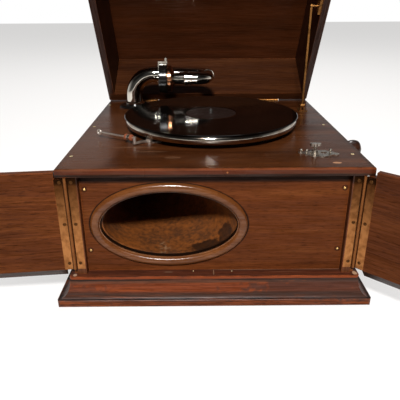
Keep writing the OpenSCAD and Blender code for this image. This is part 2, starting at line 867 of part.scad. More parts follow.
module stay_rail() {
    x0 = lid_side_x - rail_t;
    color(brass) lid_swing()
        difference() {
            translate([x0, lid_axis_y - rail_u1 - rail_edge, lid_rim + rail_w0 - 3])
                cube([rail_t, rail_u1 - rail_u0 + 2 * rail_edge, rail_w1 - rail_w0 + 6]);
            translate([x0 - 1, lid_axis_y - rail_u1, lid_rim + rail_w0])
                cube([rail_t, rail_u1 - rail_u0, rail_w1 - rail_w0]);
        }
}

// ---------- turntable ----------

module platter() {
    color(nickel)
        translate([0, sy, deck_z + platter_lift])
            rotate_extrude($fn = 160)
                polygon([
                    [spindle_r, rim_h - 12], [14, rim_h - 12], [16, rim_h - 3], [platter_r - 6, rim_h - 3],
                    [platter_r - 3.2, rim_h - 5], [platter_r - 2.6, 1.5], [platter_r - 2, 0], [platter_r - 0.8, 0.4],
                    [platter_r, 2.5], [platter_r, rim_h - 3], [platter_r - 0.8, rim_h - 0.8], [platter_r - 3, rim_h],
                    [spindle_r, rim_h]
                ]);
}

module record() {
    color(black)
        translate([0, sy, record_z])
            rotate_extrude($fn = 160)
                polygon([
                    [spindle_r, 0], [record_r - 1, 0], [record_r, 0.6], [record_r, record_t - 0.5],
                    [record_r - 1.5, record_t], [record_r - 6, record_t - 0.1], [label_r + 8, record_t - 0.1],
                    [label_r + 3, record_t], [label_r, record_t], [label_r, record_t - 0.3], [spindle_r, record_t - 0.3]
                ]);
}

module record_label() {
    color("#5d4434")
        translate([0, sy, record_z + record_t - 0.3])
            rotate_extrude($fn = 96)
                polygon([[spindle_r, 0], [label_r, 0], [label_r, 0.25], [label_r - 0.4, 0.3], [spindle_r, 0.3]]);
}

module spindle() {
    h = spindle_top - motor_b1 - seat;
    color(steel)
        translate([0, sy, motor_b1 + seat])
            rotate_extrude($fn = 40)
                polygon([[0, 0], [spindle_r, 0], [spindle_r, h - 2], [spindle_r * 0.6, h - 0.4], [0, h]]);
}

// Pinion that the barrel turns and wheel that turns the governor, both on the spindle
module drive_wheels() {
    color(brass)
        translate([0, sy, 0])
            difference() {
                union() {
                    translate([0, 0, great_z - 1.5])
                        linear_extrude(great_t + 3)
                            polygon(gear(pinion_teeth, gear_m));
                    translate([0, 0, governor_z])
                        linear_extrude(3)
                            polygon(gear(speed_wheel_teeth, governor_m));
                    translate([0, 0, governor_z])
                        cylinder(r = spindle_r + 2.5, h = great_z - governor_z);
                }
                translate([0, 0, governor_z - 1])
                    cylinder(r = spindle_r, h = great_z + great_t - governor_z + 4);
            }
}

// ---------- motor ----------

motor_x0 = governor_x - 22;
motor_x1 = barrel_x + gear_m * great_teeth / 2 + 14;
motor_hy = gear_m * great_teeth / 2 + 10;
pillar_spots = [
    [motor_x0 + 8, motor_hy - 8], [motor_x0 + 8, 8 - motor_hy],
    [motor_x1 - 8, motor_hy - 8], [motor_x1 - 8, 8 - motor_hy]
];

module motor_plate(z) {
    translate([0, 0, z])
        linear_extrude(plate_t)
            polygon([
                [motor_x0 + 8, -motor_hy], [motor_x1 - 8, -motor_hy], [motor_x1, 8 - motor_hy], [motor_x1, motor_hy - 8],
                [motor_x1 - 8, motor_hy], [motor_x0 + 8, motor_hy], [motor_x0, motor_hy - 8], [motor_x0, 8 - motor_hy]
            ]);
}

module motor_top_plate() {
    color(steel)
        translate([0, sy, 0])
            difference() {
                motor_plate(motor_z0);
                translate([0, 0, motor_z0 - 1])
                    cylinder(r = spindle_r + run_fit, h = plate_t + 2);
                translate([barrel_x, 0, motor_z0 - 1])
                    cylinder(r = arbor_r + run_fit, h = plate_t + 2);
                translate([governor_x, 0, motor_z0 - 1])
                    cylinder(r = 1.5 + run_fit, h = plate_t + 2);
            }
}

module motor_bottom_plate() {
    color(steel)
        translate([0, sy, 0])
            difference() {
                union() {
                    motor_plate(motor_b0);
                    translate([barrel_x + crown_r + 14, -9, crank_z - 8])
                        cube([5, 18, motor_b0 - crank_z + 8]);
                }
                translate([barrel_x, 0, motor_b0 - 1])
                    cylinder(r = arbor_r + run_fit, h = plate_t + 2);
                translate([governor_x, 0, motor_b0 + 1])
                    cylinder(r = 1.5 + run_fit, h = plate_t + 2);
                translate([barrel_x + crown_r + 13, 0, crank_z])
                    rotate([0, 90, 0])
                        cylinder(r = crank_r + run_fit, h = 7);
            }
}

module motor_pillars() {
    color(steel)
        translate([0, sy, motor_b1])
            for (p = pillar_spots)
                translate([p[0], p[1], 0])
                    rotate_extrude($fn = 32)
                        polygon([
                            [0, 0], [pillar_r + 1.5, 0], [pillar_r + 1.5, 4], [pillar_r, 6], [pillar_r, motor_h - 6],
                            [pillar_r + 1.5, motor_h - 4], [pillar_r + 1.5, motor_h], [0, motor_h]
                        ]);
}

// Spring barrel with its great wheel; free to turn on the arbor
module spring_barrel() {
    h = great_z - motor_b1 - 4;
    color(steel)
        translate([barrel_x, sy, 0])
            difference() {
                union() {
                    translate([0, 0, great_z - h])
                        rotate_extrude($fn = 96)
                            polygon([
                                [0, 0], [drum_r - 1, 0], [drum_r, 1], [drum_r, 3], [drum_r - 0.8, 4], [drum_r - 0.8, h - 5],
                                [drum_r, h - 4], [drum_r, h - 1.5], [drum_r - 2, h], [0, h]
                            ]);
                    translate([0, 0, great_z])
                        linear_extrude(great_t)
                            rotate([0, 0, 180 - 180 / great_teeth])
                                polygon(gear(great_teeth, gear_m));
                }
                translate([0, 0, motor_b0])
                    cylinder(r = arbor_r + run_fit, h = motor_h);
            }
}

// Arbor through the barrel, with the crown wheel that the crank drives
module winding_arbor() {
    color(steel)
        translate([barrel_x, sy, 0]) {
            translate([0, 0, crown_z - crown_disc])
                cylinder(r = arbor_r, h = motor_z0 + plate_t - 0.5 - crown_z + crown_disc);
            translate([0, 0, crown_z - crown_disc])
                cylinder(r = crown_r + crown_face / 2 + 1, h = crown_disc, $fn = 96);
            for (i = [0 : crown_teeth - 1])
                rotate([0, 0, 360 / crown_teeth * (i + 0.5)])
                    translate([crown_r - crown_face / 2, -0.65, crown_z - crown_disc - crown_tooth])
                        cube([crown_face, 1.3, crown_tooth + 1]);
        }
}

// Governor: pinion, shaft, two collars and three weights on leaf springs
module governor() {
    low = motor_b1 + 10;
    high = governor_z - 6;
    mid = (low + high) / 2;
    color(brass)
        translate([governor_x, sy, 0]) {
            translate([0, 0, motor_b0 + 1.2])
                cylinder(r = 1.5, h = motor_z1 - 0.6 - motor_b0 - 1.2, $fn = 32);
            translate([0, 0, governor_z - 2])
                linear_extrude(7)
                    rotate([0, 0, 180 / governor_teeth])
                        polygon(gear(governor_teeth, governor_m));
            for (z = [low, high - 5])
                translate([0, 0, z])
                    cylinder(r = 6, h = 5, $fn = 40);
            translate([0, 0, low - 5])
                cylinder(r = 13, h = 2, $fn = 48);
            for (k = [0 : 2])
                rotate([0, 0, 120 * k]) {
                    translate([13, 0, mid - 5])
                        cylinder(r = 4, h = 10, $fn = 32);
                    for (s = [-1, 1])
                        translate([5, -1.5, mid])
                            translate([0, 0, s > 0 ? 4 : low - mid + 1])
                                cube([8.5, 3, 0.9]);
                    translate([5.2, -1.5, low + 1])
                        cube([0.9, 3, high - low - 2]);
                }
        }
}

// ---------- crank ----------

module crank_bush() {
    color(brass)
        translate([body_x, sy, crank_z])
            rotate([0, 90, 0])
                difference() {
                    rotate_extrude($fn = 48)
                        polygon([
                            [0, -side_t], [crank_r + 5, -side_t], [crank_r + 5, 0], [crank_r + 11, 0], [crank_r + 10, 1.8],
                            [crank_r + 5, 2.6], [crank_r + 4, 4], [0, 4]
                        ]);
                    translate([0, 0, -side_t - 1])
                        cylinder(r = crank_r + run_fit, h = side_t + 6);
                }
}

// Places its children on the crank's grip axis
module crank_at_grip() {
    translate([0, sy, crank_z])
        rotate([crank_turn, 0, 0])
            translate([0, 0, crank_len])
                children();
}

module crank() {
    x0 = barrel_x + crown_r - crown_face / 2;
    color(steel) {
        translate([x0, sy, crank_z])
            rotate([0, 90, 0]) {
                cylinder(r = crank_r, h = crank_tip_x - x0);
                linear_extrude(crown_face)
                    polygon(gear(crank_teeth, crown_m));
            }
        translate([crank_tip_x - 7, sy, crank_z])
            rotate([crank_turn, 0, 0])
                rotate([0, 90, 0])
                    linear_extrude(7)
                        difference() {
                            union() {
                                circle(r = 9);
                                translate([-crank_len, 0]) circle(r = 7);
                                polygon([[0, 8], [-crank_len, 6], [-crank_len, -6], [0, -8]]);
                            }
                        }
        crank_at_grip()
            translate([crank_tip_x, 0, 0])
                rotate([0, 90, 0])
                    cylinder(r = 3, h = grip_len + grip_gap + 1, $fn = 32);
        crank_at_grip()
            translate([crank_tip_x + grip_len + grip_gap + seat, 0, 0])
                rotate([0, 90, 0])
                    cylinder(r = 4.5, h = 1.2, $fn = 32);
    }
}

module crank_grip() {
    color(walnut)
        crank_at_grip()
            translate([crank_tip_x + grip_gap, 0, 0])
                rotate([0, 90, 0])
                    difference() {
                        rotate_extrude($fn = 64)
                            polygon([
                                [0, 0], [grip_r * 0.55, 0], [grip_r * 0.62, 2], [grip_r * 0.6, grip_len * 0.15],
                                [grip_r * 0.78, grip_len * 0.3], [grip_r * 0.95, grip_len * 0.5], [grip_r, grip_len * 0.68],
                                [grip_r * 0.94, grip_len * 0.84], [grip_r * 0.74, grip_len * 0.95], [grip_r * 0.45, grip_len], [0, grip_len]
                            ]);
                        translate([0, 0, -1])
                            cylinder(r = 3 + run_fit, h = grip_len + 2, $fn = 32);
                    }
}

// ---------- tonearm ----------

module tonearm_base() {
    color(black)
        translate([arm_px, arm_py, deck_z])
            difference() {
                rotate_extrude($fn = 80)
                    polygon([
                        [0, 0], [base_r, 0], [base_r, base_t * 0.5], [base_r - 2, base_t * 0.8], [base_r - 6, base_t],
                        [spigot_r + 7, base_t], [spigot_r + 6, base_t + 2], [spigot_r, base_t + 2],
                        [spigot_r, base_t + spigot_h], [0, base_t + spigot_h]
                    ]);
                translate([0, 0, -1])
                    cylinder(r = spigot_r - tube_t, h = base_t + spigot_h + 2);
                for (a = [30, 150, 270])
                    rotate([0, 0, a])
                        translate([base_r - 6, 0, base_t - 1])
                            cylinder(r = 2.6, h = 2, $fn = 24);
            }
}

// Elbow, tapered tube and first half of the swan neck
module tonearm() {
    sleeve_z = deck_z + base_t + 2 + seat;
    bend_z = arm_z - elbow_bend;
    tube_x0 = arm_px + elbow_bend;
    tube_x1 = swivel_x - crook_bend;
    color(nickel) {
        difference() {
            union() {
                translate([arm_px, arm_py, sleeve_z])
                    rotate_extrude($fn = 80)
                        polygon([
                            [spigot_r + run_fit, 0], [elbow_r + 3, 0], [elbow_r + 3, 2.5], [elbow_r + 1.2, 3.5],
                            [elbow_r, 4.5], [elbow_r, bend_z - sleeve_z], [spigot_r + run_fit, bend_z - sleeve_z]
                        ]);
                translate([arm_px + elbow_bend, arm_py, bend_z])
                    rotate([90, 0, 0])
                        rotate([0, 0, 90])
                            rotate_extrude(angle = 90, $fn = 96)
                                translate([elbow_bend, 0])
                                    circle(r = elbow_r);
                translate([tube_x0, arm_py, arm_z])
                    rotate([0, 90, 0])
                        cylinder(r1 = elbow_r, r2 = crook_r, h = tube_x1 - tube_x0);
                translate([tube_x0 + 4, arm_py, arm_z])
                    rotate([0, 90, 0])
                        cylinder(r = elbow_r + 1.2, h = 3);
                translate([swivel_x - crook_bend, arm_py - crook_bend, arm_z])
                    rotate_extrude(angle = 90, $fn = 96)
                        translate([crook_bend, 0])
                            circle(r = crook_r);
            }
            translate([arm_px + elbow_bend, arm_py, bend_z])
                rotate([90, 0, 0])
                    rotate([0, 0, 90])
                        rotate_extrude(angle = 90, $fn = 96)
                            translate([elbow_bend, 0])
                                circle(r = elbow_r - tube_t);
            translate([tube_x0, arm_py, arm_z])
                rotate([0, 90, 0])
                    cylinder(r1 = elbow_r - tube_t, r2 = crook_r - tube_t, h = tube_x1 - tube_x0);
            translate([swivel_x - crook_bend, arm_py - crook_bend, arm_z])
                rotate_extrude(angle = 90, $fn = 96)
                    translate([crook_bend, 0])
                        circle(r = crook_r - tube_t);
        }
        translate([swivel_x, arm_py - crook_bend + 2, arm_z])
            rotate([90, 0, 0])
                difference() {
                    cylinder(r = swivel_r, h = crook_gap - 2 * crook_bend + 1);
                    translate([0, 0, -1])
                        cylinder(r = swivel_r - tube_t, h = crook_gap - 2 * crook_bend + 3);
                    }
        translate([swivel_x, arm_py - crook_bend + 1, arm_z])
            rotate([90, 0, 0])
                difference() {
                    cylinder(r = crook_r + 1, h = 2);
                    translate([0, 0, -1])
                        cylinder(r = swivel_r - tube_t, h = 4);
                }
    }
}

// Second half of the swan neck, thrown back beside the arm
module crook() {
    y1 = arm_py - crook_bend - 1 - seat;
    y0 = leg_y + crook_bend;
    x1 = swivel_x - crook_bend;
    color(nickel) {
        translate([swivel_x, y1, arm_z])
            rotate([90, 0, 0])
                difference() {
                    union() {
                        cylinder(r = crook_r, h = y1 - y0);
                        cylinder(r = crook_r + 1, h = 2);
                    }
                    translate([0, 0, -1])
                        cylinder(r = swivel_r + run_fit, h = y1 - y0 + 2);
                }
        translate([x1, y0, arm_z])
            rotate([0, 0, -90])
                rotate_extrude(angle = 90, $fn = 96)
                    translate([crook_bend, 0])
                        difference() {
                            circle(r = crook_r);
                            circle(r = crook_r - tube_t);
                        }
        translate([x1, leg_y, arm_z])
            rotate([0, -90, 0])
                rotate_extrude($fn = 80)
                    polygon([
                        [crook_r - tube_t, 0], [crook_r, 0], [crook_r, 10], [crook_r + 1.6, 11], [crook_r + 1.6, 14],
                        [crook_r - 0.4, 15], [crook_r - 0.4, 17], [crook_r + 1.6, 18], [crook_r + 1.6, 24],
                        [crook_r, 26], [crook_r - 1, box_x - crook_bend - 3], [crook_r + 4, box_x - crook_bend],
                        [crook_r - tube_t - 3, box_x - crook_bend], [crook_r - tube_t - 3, box_x - crook_bend - 8],
                        [crook_r - tube_t, box_x - crook_bend - 12]
                    ]);
    }
}

// Draws its children on the sound box's axis, +Z towards the diaphragm
module on_soundbox() {
    translate([box_back, leg_y, arm_z])
        rotate([0, -90, 0])
            children();
}

module soundbox_case() {
    color(black) on_soundbox()
        rotate_extrude($fn = 96)
            polygon([
                [0, box_ring], [box_r - 0.8, box_ring], [box_r, box_ring + 0.8], [box_r, box_t - 1.2],
                [box_r - 1.2, box_t], [box_r - 4.5, box_t], [box_r - 5.5, box_t - 1], [box_r - 5.5, box_t - 4],
                [0, box_t - 4]
            ]);
}

// Bright ring that clamps the body to the crook's flange
module soundbox_rim() {
    color(brass) on_soundbox()
        rotate_extrude($fn = 96)
            polygon([
                [0, 0], [crook_r + 3, 0], [box_r - 8, 1.5], [box_r - 5, 3], [box_r - 4, 4.5],
                [box_r - 4, box_ring - 1.5], [box_r - 5, box_ring], [0, box_ring]
            ]);
}

module diaphragm() {
    color("#d8cfb8") on_soundbox()
        translate([0, 0, box_t - 4])
            rotate_extrude($fn = 80)
                polygon([[0, 0], [box_r - 5.5 - seat, 0], [box_r - 5.5 - seat, 0.6], [12, 0.6], [9, 1.1], [0, 1.1]]);
}

// Stylus bar from the middle of the diaphragm over the rim to the chuck and needle
module needle_bar() {
    chuck_h = 9;
    needle_in = box_t - 13;                   // needle's distance in front of the box's back
    color(nickel) on_soundbox() {
        translate([0, 0, box_t - 2.9])
            cylinder(r = 1.6, h = 4.9, $fn = 32);
        translate([0, -1.5, box_t + 0.4])
            cube([box_r + 3, 3, 1.6]);
        translate([box_r + 0.4, -3.2, needle_in - 3])
            cube([4, 6.4, box_t + 2 - needle_in + 3]);
        translate([box_r + 1, 0, needle_in])
            rotate([0, 90, 0])
                cylinder(r = 2.6, h = chuck_h, $fn = 32);
        translate([box_r + 1, 0, needle_in])
            rotate([0, 90, 0])
                rotate_extrude($fn = 24)
                    polygon([
                        [0, 0], [0.8, 0], [0.8, needle_reach - box_r - 4], [0.15, needle_reach - box_r - 1],
                        [0, needle_reach - box_r - 1]
                    ]);
        translate([box_r + 5, 2, needle_in])
            rotate([-90, 0, 0])
                cylinder(r = 1.5, h = 6, $fn = 32);
    }
}

// ---------- brake and speed regulator ----------

brake_at = 223.84;                            // direction of the pivot from the spindle
brake_turn = 199;                             // direction of the pad from the pivot
brake_bend = 148;                             // direction of the handle
brake_px = (platter_r - brake_in) * cos(brake_at);
brake_py = sy + (platter_r - brake_in) * sin(brake_at);
brake_bore = 2.5;
pad_x = brake_px + brake_arm * cos(brake_turn);
pad_y = brake_py + brake_arm * sin(brake_turn);
pad_z = deck_z + brake_h;
riser_x = pad_x - 11 * cos(brake_bend);       // foot of the rod's upright
riser_y = pad_y - 11 * sin(brake_bend);

module brake_plate() {
    color(nickel)
        translate([brake_px, brake_py, deck_z]) {
            linear_extrude(1.6)
                difference() {
                    union() {
                        circle(r = 7);
                        translate([-14, -5]) square([28, 10]);
                        translate([-14, 0]) circle(r = 5);
                        translate([14, 0]) circle(r = 5);
                    }
                    for (s = [-1, 1])
                        translate([14 * s, 0]) circle(r = 1.8, $fn = 24);
                }
            cylinder(r = brake_bore, h = 6.8, $fn = 32);
        }
}

// Lever under the platter, its upright, and the long handle through the pad
module brake_lever() {
    dx = riser_x - brake_px;
    dy = riser_y - brake_py;
    low = deck_z + 1.6 + seat;
    color(nickel) {
        translate([brake_px, brake_py, low])
            difference() {
                union() {
                    cylinder(r = 5.5, h = 4.4, $fn = 48);
                    rotate([0, 0, atan2(dy, dx)])
                        translate([0, -2.6, 0]) cube([norm([dx, dy]) + 2, 5.2, 2]);
                }
                translate([0, 0, -1])
                    cylinder(r = brake_bore + run_fit, h = 8, $fn = 48);
            }
        translate([riser_x, riser_y, low])
            cylinder(r = 2.6, h = pad_z + 2.6 - low, $fn = 40);
        translate([pad_x, pad_y, pad_z])
            rotate([0, 0, brake_bend]) {
                rotate([0, 90, 0])
                    translate([0, 0, -11])
                        cylinder(r = 1.6, h = brake_handle + 11, $fn = 32);
                translate([brake_handle, 0, 0])
                    rotate([90, 0, 0])
                        rotate_extrude($fn = 40)
                            translate([3.6, 0]) circle(r = 1.4, $fn = 24);
            }
    }
}

module brake_pad() {
    color("#8a4a32")
        translate([pad_x, pad_y, pad_z])
            rotate([0, 0, brake_bend])
                rotate([0, 90, 0])
                    rotate_extrude($fn = 48)
                        polygon([
                            [1.6, -7], [5, -7], [5, -3], [4, -2.8], [4, 2.8], [5, 3], [5, 7], [1.6, 7]
                        ]);
}

speed_x = deck_w / 2 - speed_in;
speed_tail = 31;                              // length of the plate's right end

// Scalloped plate of the regulator, with its two small studs and scale screw
module speed_plate() {
    color(nickel)
        translate([speed_x, fy + speed_y, deck_z]) {
            difference() {
                union() {
                    linear_extrude(1.2)
                        difference() {
                            union() {
                                circle(r = 13);
                                translate([-11, 4]) circle(r = 7.5);
                                translate([-19, 7]) circle(r = 4.5);
                                translate([-2, -9]) circle(r = 6);
                                translate([10, -3]) circle(r = 11.5);
                                translate([14, 7]) circle(r = 9.5);
                                translate([22, 2]) circle(r = 9);
                                translate([speed_tail, -2]) circle(r = 4.5);
                            }
                            translate([14, 3]) circle(r = 4.5);
                            translate([-26, 16]) circle(r = 8);
                        }
                    cylinder(r = 7, h = 3);
                }
                translate([0, 0, -1]) cylinder(r = 3 + run_fit, h = 6, $fn = 40);
            }
            for (p = [[-19, 7], [-11, 5], [24, 5]])
                translate([p[0], p[1], 1.2])
                    rotate_extrude($fn = 32)
                        polygon([[0, 0], [1.4, 0], [1.4, 1.6], [2.3, 2.8], [2.3, 3.8], [1.4, 5], [0, 5.3]]);
        }
}

// Regulating screw with its winged thumb nut
module speed_nut() {
    color(nickel)
        translate([speed_x, fy + speed_y, deck_z]) {
            translate([0, 0, -deck_t])
                cylinder(r = 3, h = deck_t + speed_h - 2, $fn = 40);
            translate([0, 0, 3 + seat])
                rotate_extrude($fn = 40)
                    polygon([[0, 0], [5, 0], [5, 1.5], [3, 3], [2.6, speed_h - 8], [4.5, speed_h - 5], [0, speed_h - 5]]);
            translate([0, 0, speed_h - 2.2])
                linear_extrude(4) {
                    circle(r = 4.5);
                    for (s = [-1, 1])
                        translate([s * 4.6, 0]) circle(r = 3.6);
                }
        }
}

plinth();
bottom_board();
sill();
left_side();
right_side();
back_board();
left_post();
right_post();
front_panel();
mouth_ring();
horn();
deck();
panel_pins();
deck_screws();
left_leaf_fixed();
right_leaf_fixed();
left_door();
left_leaf_moving();
left_pull();
right_door();
right_leaf_moving();
right_pull();
lid_front();
lid_back_wall();
lid_left_wall();
lid_right_wall();
lid_top();
lid_hinge_moving();
lid_hinge_fixed();
stay_bracket();
stay_rod();
stay_rail();
platter();
record();
record_label();
spindle();
drive_wheels();
motor_top_plate();
motor_bottom_plate();
motor_pillars();
spring_barrel();
winding_arbor();
governor();
crank_bush();
crank();
crank_grip();
tonearm_base();
tonearm();
crook();
soundbox_case();
soundbox_rim();
diaphragm();
needle_bar();
brake_plate();
brake_lever();
brake_pad();
speed_plate();
speed_nut();
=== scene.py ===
"""Looks of a wooden table gramophone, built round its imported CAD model.

The CAD nodes keep their shapes and get a finish each. The pieces that need
more than a plain solid are modelled here and stand for their nodes.
"""
import json
import logging
from dataclasses import dataclass, field
from enum import Enum
from functools import cache
from math import cos, pi, radians, sin

import bmesh
import bpy
from mathutils import Matrix, Vector

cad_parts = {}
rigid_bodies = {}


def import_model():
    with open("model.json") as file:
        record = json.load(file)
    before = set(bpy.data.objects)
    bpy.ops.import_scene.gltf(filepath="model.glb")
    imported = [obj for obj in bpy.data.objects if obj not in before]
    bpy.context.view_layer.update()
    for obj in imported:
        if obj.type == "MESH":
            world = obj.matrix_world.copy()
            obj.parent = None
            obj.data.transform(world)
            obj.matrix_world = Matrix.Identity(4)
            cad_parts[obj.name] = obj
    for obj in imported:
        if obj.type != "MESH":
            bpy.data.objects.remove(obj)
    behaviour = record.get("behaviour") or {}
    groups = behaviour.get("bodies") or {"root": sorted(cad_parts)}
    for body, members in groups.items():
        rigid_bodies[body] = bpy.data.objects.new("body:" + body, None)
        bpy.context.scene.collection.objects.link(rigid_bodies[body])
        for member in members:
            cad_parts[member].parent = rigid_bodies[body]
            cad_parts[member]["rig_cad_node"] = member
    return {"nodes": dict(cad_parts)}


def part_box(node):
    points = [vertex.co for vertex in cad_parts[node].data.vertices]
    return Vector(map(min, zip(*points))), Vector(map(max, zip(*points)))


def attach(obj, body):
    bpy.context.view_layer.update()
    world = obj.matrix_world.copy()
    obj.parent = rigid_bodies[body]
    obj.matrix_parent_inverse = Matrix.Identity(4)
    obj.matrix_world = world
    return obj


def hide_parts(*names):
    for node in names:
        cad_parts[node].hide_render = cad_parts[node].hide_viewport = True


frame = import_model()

logging.basicConfig(level=logging.INFO, format="%(name)s: %(message)s")
log = logging.getLogger("gramophone")

MM = 0.001
FAR = 1e6  # half size in millimetres that all but leaves its axis out of a distance
MERGE = 1e-6  # points closer than this, in metres, are one
UP = Vector((0, 0, 1))
FRONT = Vector((0, -1, 0))

Point = tuple[float, float, float]
Pair = tuple[float, float]
Spot = tuple[Vector, Vector, float]
Piece = bpy.types.Object
Node = bpy.types.Node
Socket = bpy.types.NodeSocket


class Axis(Enum):
    """Axis of a board's grain, or the one that a stripe's edges are measured on."""

    X = 0
    Y = 1
    Z = 2


def mm(*values: float) -> Vector:
    """Point given in millimetres, as metres."""
    return Vector(values) * MM


# ---------------------------------------------------------------- finishes


def linear(code: str) -> tuple[float, float, float, float]:
    """Turn an sRGB hex colour into Blender's linear colour.

    Args:
        code: colour such as "#613218".

    Returns:
        Red, green, blue and alpha, each from 0 to 1.
    """
    parts = [int(code[i:i + 2], 16) / 255 for i in (1, 3, 5)]
    return (*[c / 12.92 if c <= 0.04045 else ((c + 0.055) / 1.055) ** 2.4 for c in parts], 1.0)


def add_node(tree: bpy.types.NodeTree, kind: str, inputs: tuple | dict = (), stops: tuple = (),
             **settings: object) -> Node:
    """Add a shader node, set it and link what feeds it.

    Args:
        tree: tree that the node joins.
        kind: Blender's name of the node's type, without "ShaderNode".
        inputs: values, nodes or outputs, in the order of the sockets or by a socket's name or number.
        stops: places and colours of a ramp, each colour a hex code or a grey.
        settings: attributes of the node.

    Returns:
        The new node.
    """
    node = tree.nodes.new("ShaderNode" + kind)
    for name, value in settings.items():
        setattr(node, name, value)
    if stops:
        ramp = node.color_ramp.elements
        while len(ramp) < len(stops):
            ramp.new(1.0)
        for element, (place, colour) in zip(ramp, stops):
            element.position = place
            element.color = linear(colour) if isinstance(colour, str) else (colour,) * 3 + (1.0,)
    feed(tree, node, inputs if isinstance(inputs, dict) else dict(enumerate(inputs)))
    return node


def feed(tree: bpy.types.NodeTree, node: Node, inputs: dict) -> None:
    """Set or link a node's sockets, each from a value, a node's first output or another output."""
    for name, value in inputs.items():
        if isinstance(value, Node):
            value = value.outputs[0]
        if isinstance(value, Socket):
            tree.links.new(value, node.inputs[name])
        else:
            node.inputs[name].default_value = value


class Tree:
    """Shader tree of a material or a world, emptied and given its output."""

    def __init__(self, owner: bpy.types.Material | bpy.types.World, kind: str = "Material") -> None:
        """Take the owner's tree; kind is Material or World."""
        owner.use_nodes = True
        self.tree = owner.node_tree
        self.tree.nodes.clear()
        self.out = self.add("Output" + kind)

    def add(self, kind: str, inputs: tuple | dict = (), stops: tuple = (), **settings: object) -> Node:
        """Add a node to this tree; see add_node."""
        return add_node(self.tree, kind, inputs, stops, **settings)

    def show(self, shader: Node) -> None:
        """Link a shader to the output."""
        feed(self.tree, self.out, {0: shader})

    def seen(self) -> Node:
        """Give 1 for rays of the camera, of a reflection or through glass, else 0."""
        ray = self.add("LightPath").outputs
        first = self.add("Math", (ray["Is Camera Ray"], ray["Is Glossy Ray"]), operation="MAXIMUM")
        return self.add("Math", (first, ray["Is Transmission Ray"]), operation="MAXIMUM")


class Sheet(Tree):
    """A new material with its shader and the coordinates that its patterns read."""

    def __init__(self, name: str) -> None:
        """Start the material called name."""
        self.material = bpy.data.materials.new(name)
        super().__init__(self.material)
        self.shader = self.add("BsdfPrincipled")
        self.show(self.shader)
        self.place = self.add("TexCoord").outputs["Object"]

    def make(self, **values: object) -> bpy.types.Material:
        """Feed the shader's sockets, with spaces written as underscores, and give the material."""
        feed(self.tree, self.shader, {name.replace("_", " "): value for name, value in values.items()})
        return self.material

    def noise(self, size: Point, detail: float = 3.0, seed: float = 0.0, warp: float = 0.0) -> Node:
        """Give a noise whose lumps measure size, in millimetres along X, Y and Z."""
        spot = self.add("Mapping", {"Vector": self.place, "Location": (seed, seed * 0.37, seed * 0.71),
                                    "Scale": tuple(1 / (s * MM) for s in size)})
        return self.add("TexNoise", {"Vector": spot, "Scale": 1.0, "Detail": detail, "Distortion": warp})

    def film(self, under: object, code: str, where: object, amount: float = 1.0, how: str = "MIX") -> Socket:
        """Lay a film of one colour over a surface.

        Args:
            under: colour so far.
            code: colour of the film.
            where: 1 where the film lies and 0 where it doesn't.
            amount: how much of the film shows, from 0 to 1.
            how: blend mode.

        Returns:
            The colour with the film on it.
        """
        share = self.add("Math", (where, amount), operation="MULTIPLY")
        return self.add("Mix", {0: share, 6: under, 7: linear(code)}, data_type="RGBA",
                        blend_type=how).outputs[2]

    def shaded(self, under: object, amount: float, pattern: object, *stops: tuple) -> Socket:
        """Multiply a colour by the shades that the stops give a pattern."""
        shades = self.add("ValToRGB", (pattern,), stops)
        return self.add("Mix", {0: amount, 6: under, 7: shades}, data_type="RGBA",
                        blend_type="MULTIPLY").outputs[2]

    def climb(self, axis: Axis, low: float, high: float) -> Node:
        """Give 0 at low and 1 at high along an axis, both in millimetres."""
        place = self.add("SeparateXYZ", (self.place,)).outputs[axis.value]
        return self.add("MapRange", (place, low * MM, high * MM))

    def reach(self, at: Point, half: Point, place: object = None) -> Socket:
        """Give how far a point lies from a spot, as a share of the spot's half sizes.

        Args:
            at: middle of the spot, in millimetres.
            half: its half size along each axis, in millimetres.
            place: coordinates to measure by, or None for the material's own.

        Returns:
            The share: 0 at the middle and 1 at the spot's edge.
        """
        spot = self.add("Mapping", {"Vector": place or self.place, "Location": mm(*at), "Scale": mm(*half)},
                        vector_type="TEXTURE")
        return self.add("VectorMath", (spot,), operation="LENGTH").outputs["Value"]

    def corners(self, radius: float, low: float, high: float) -> Node:
        """Find a piece's corners, where the bevelled normal parts from the true one.

        Args:
            radius: width of the corners in millimetres.
            low: likeness of the two normals down to which nothing shows.
            high: likeness at which the whole corner shows.

        Returns:
            1 on corners and 0 on faces.
        """
        bevelled = self.add("Bevel", (radius * MM,), samples=4)
        true = self.add("NewGeometry").outputs["Normal"]
        alike = self.add("VectorMath", (bevelled, true), operation="DOT_PRODUCT").outputs["Value"]
        return self.add("MapRange", (alike, low, high))

    def band(self, under: object, band: "Band") -> Socket:
        """Lay a patchy stripe over a colour."""
        soft = band.soft / 2
        begun = self.climb(band.axis, band.low - soft, band.low + soft)
        ahead = self.climb(band.axis, band.high + soft, band.high - soft)
        inside = self.add("Math", (begun, ahead), operation="MULTIPLY")
        patchy = self.add("MapRange", (self.noise((60, 60, 4), 3.0, band.low), 0.15, 0.5))
        return self.film(under, band.colour, self.add("Math", (inside, patchy), operation="MULTIPLY"),
                         band.amount)

    def mark(self, under: object, mark: "Mark") -> Socket:
        """Lay a ragged spot over a colour."""
        grit = self.noise((min(mark.half) * 0.7,) * 3, 2.0, mark.at[0])
        reach = self.reach(mark.at, mark.half)
        edge = self.add("Math", (grit, mark.ragged, reach), operation="MULTIPLY_ADD")
        # The noise is 0.5 on average, so the spot keeps its size whatever its raggedness.
        middle = 1.0 + mark.ragged / 2
        return self.film(under, mark.colour, self.add("MapRange", (edge, middle + 0.15, middle - 0.15)),
                         mark.amount)


@dataclass(frozen=True)
class Band:
    """A stripe between two places on an axis, as dirt or rubbed polish lies along a moulding, or as painted
    shade or highlight.
    """

    low: float
    high: float
    colour: str
    amount: float = 0.8
    axis: Axis = Axis.Z
    soft: float = 0.6


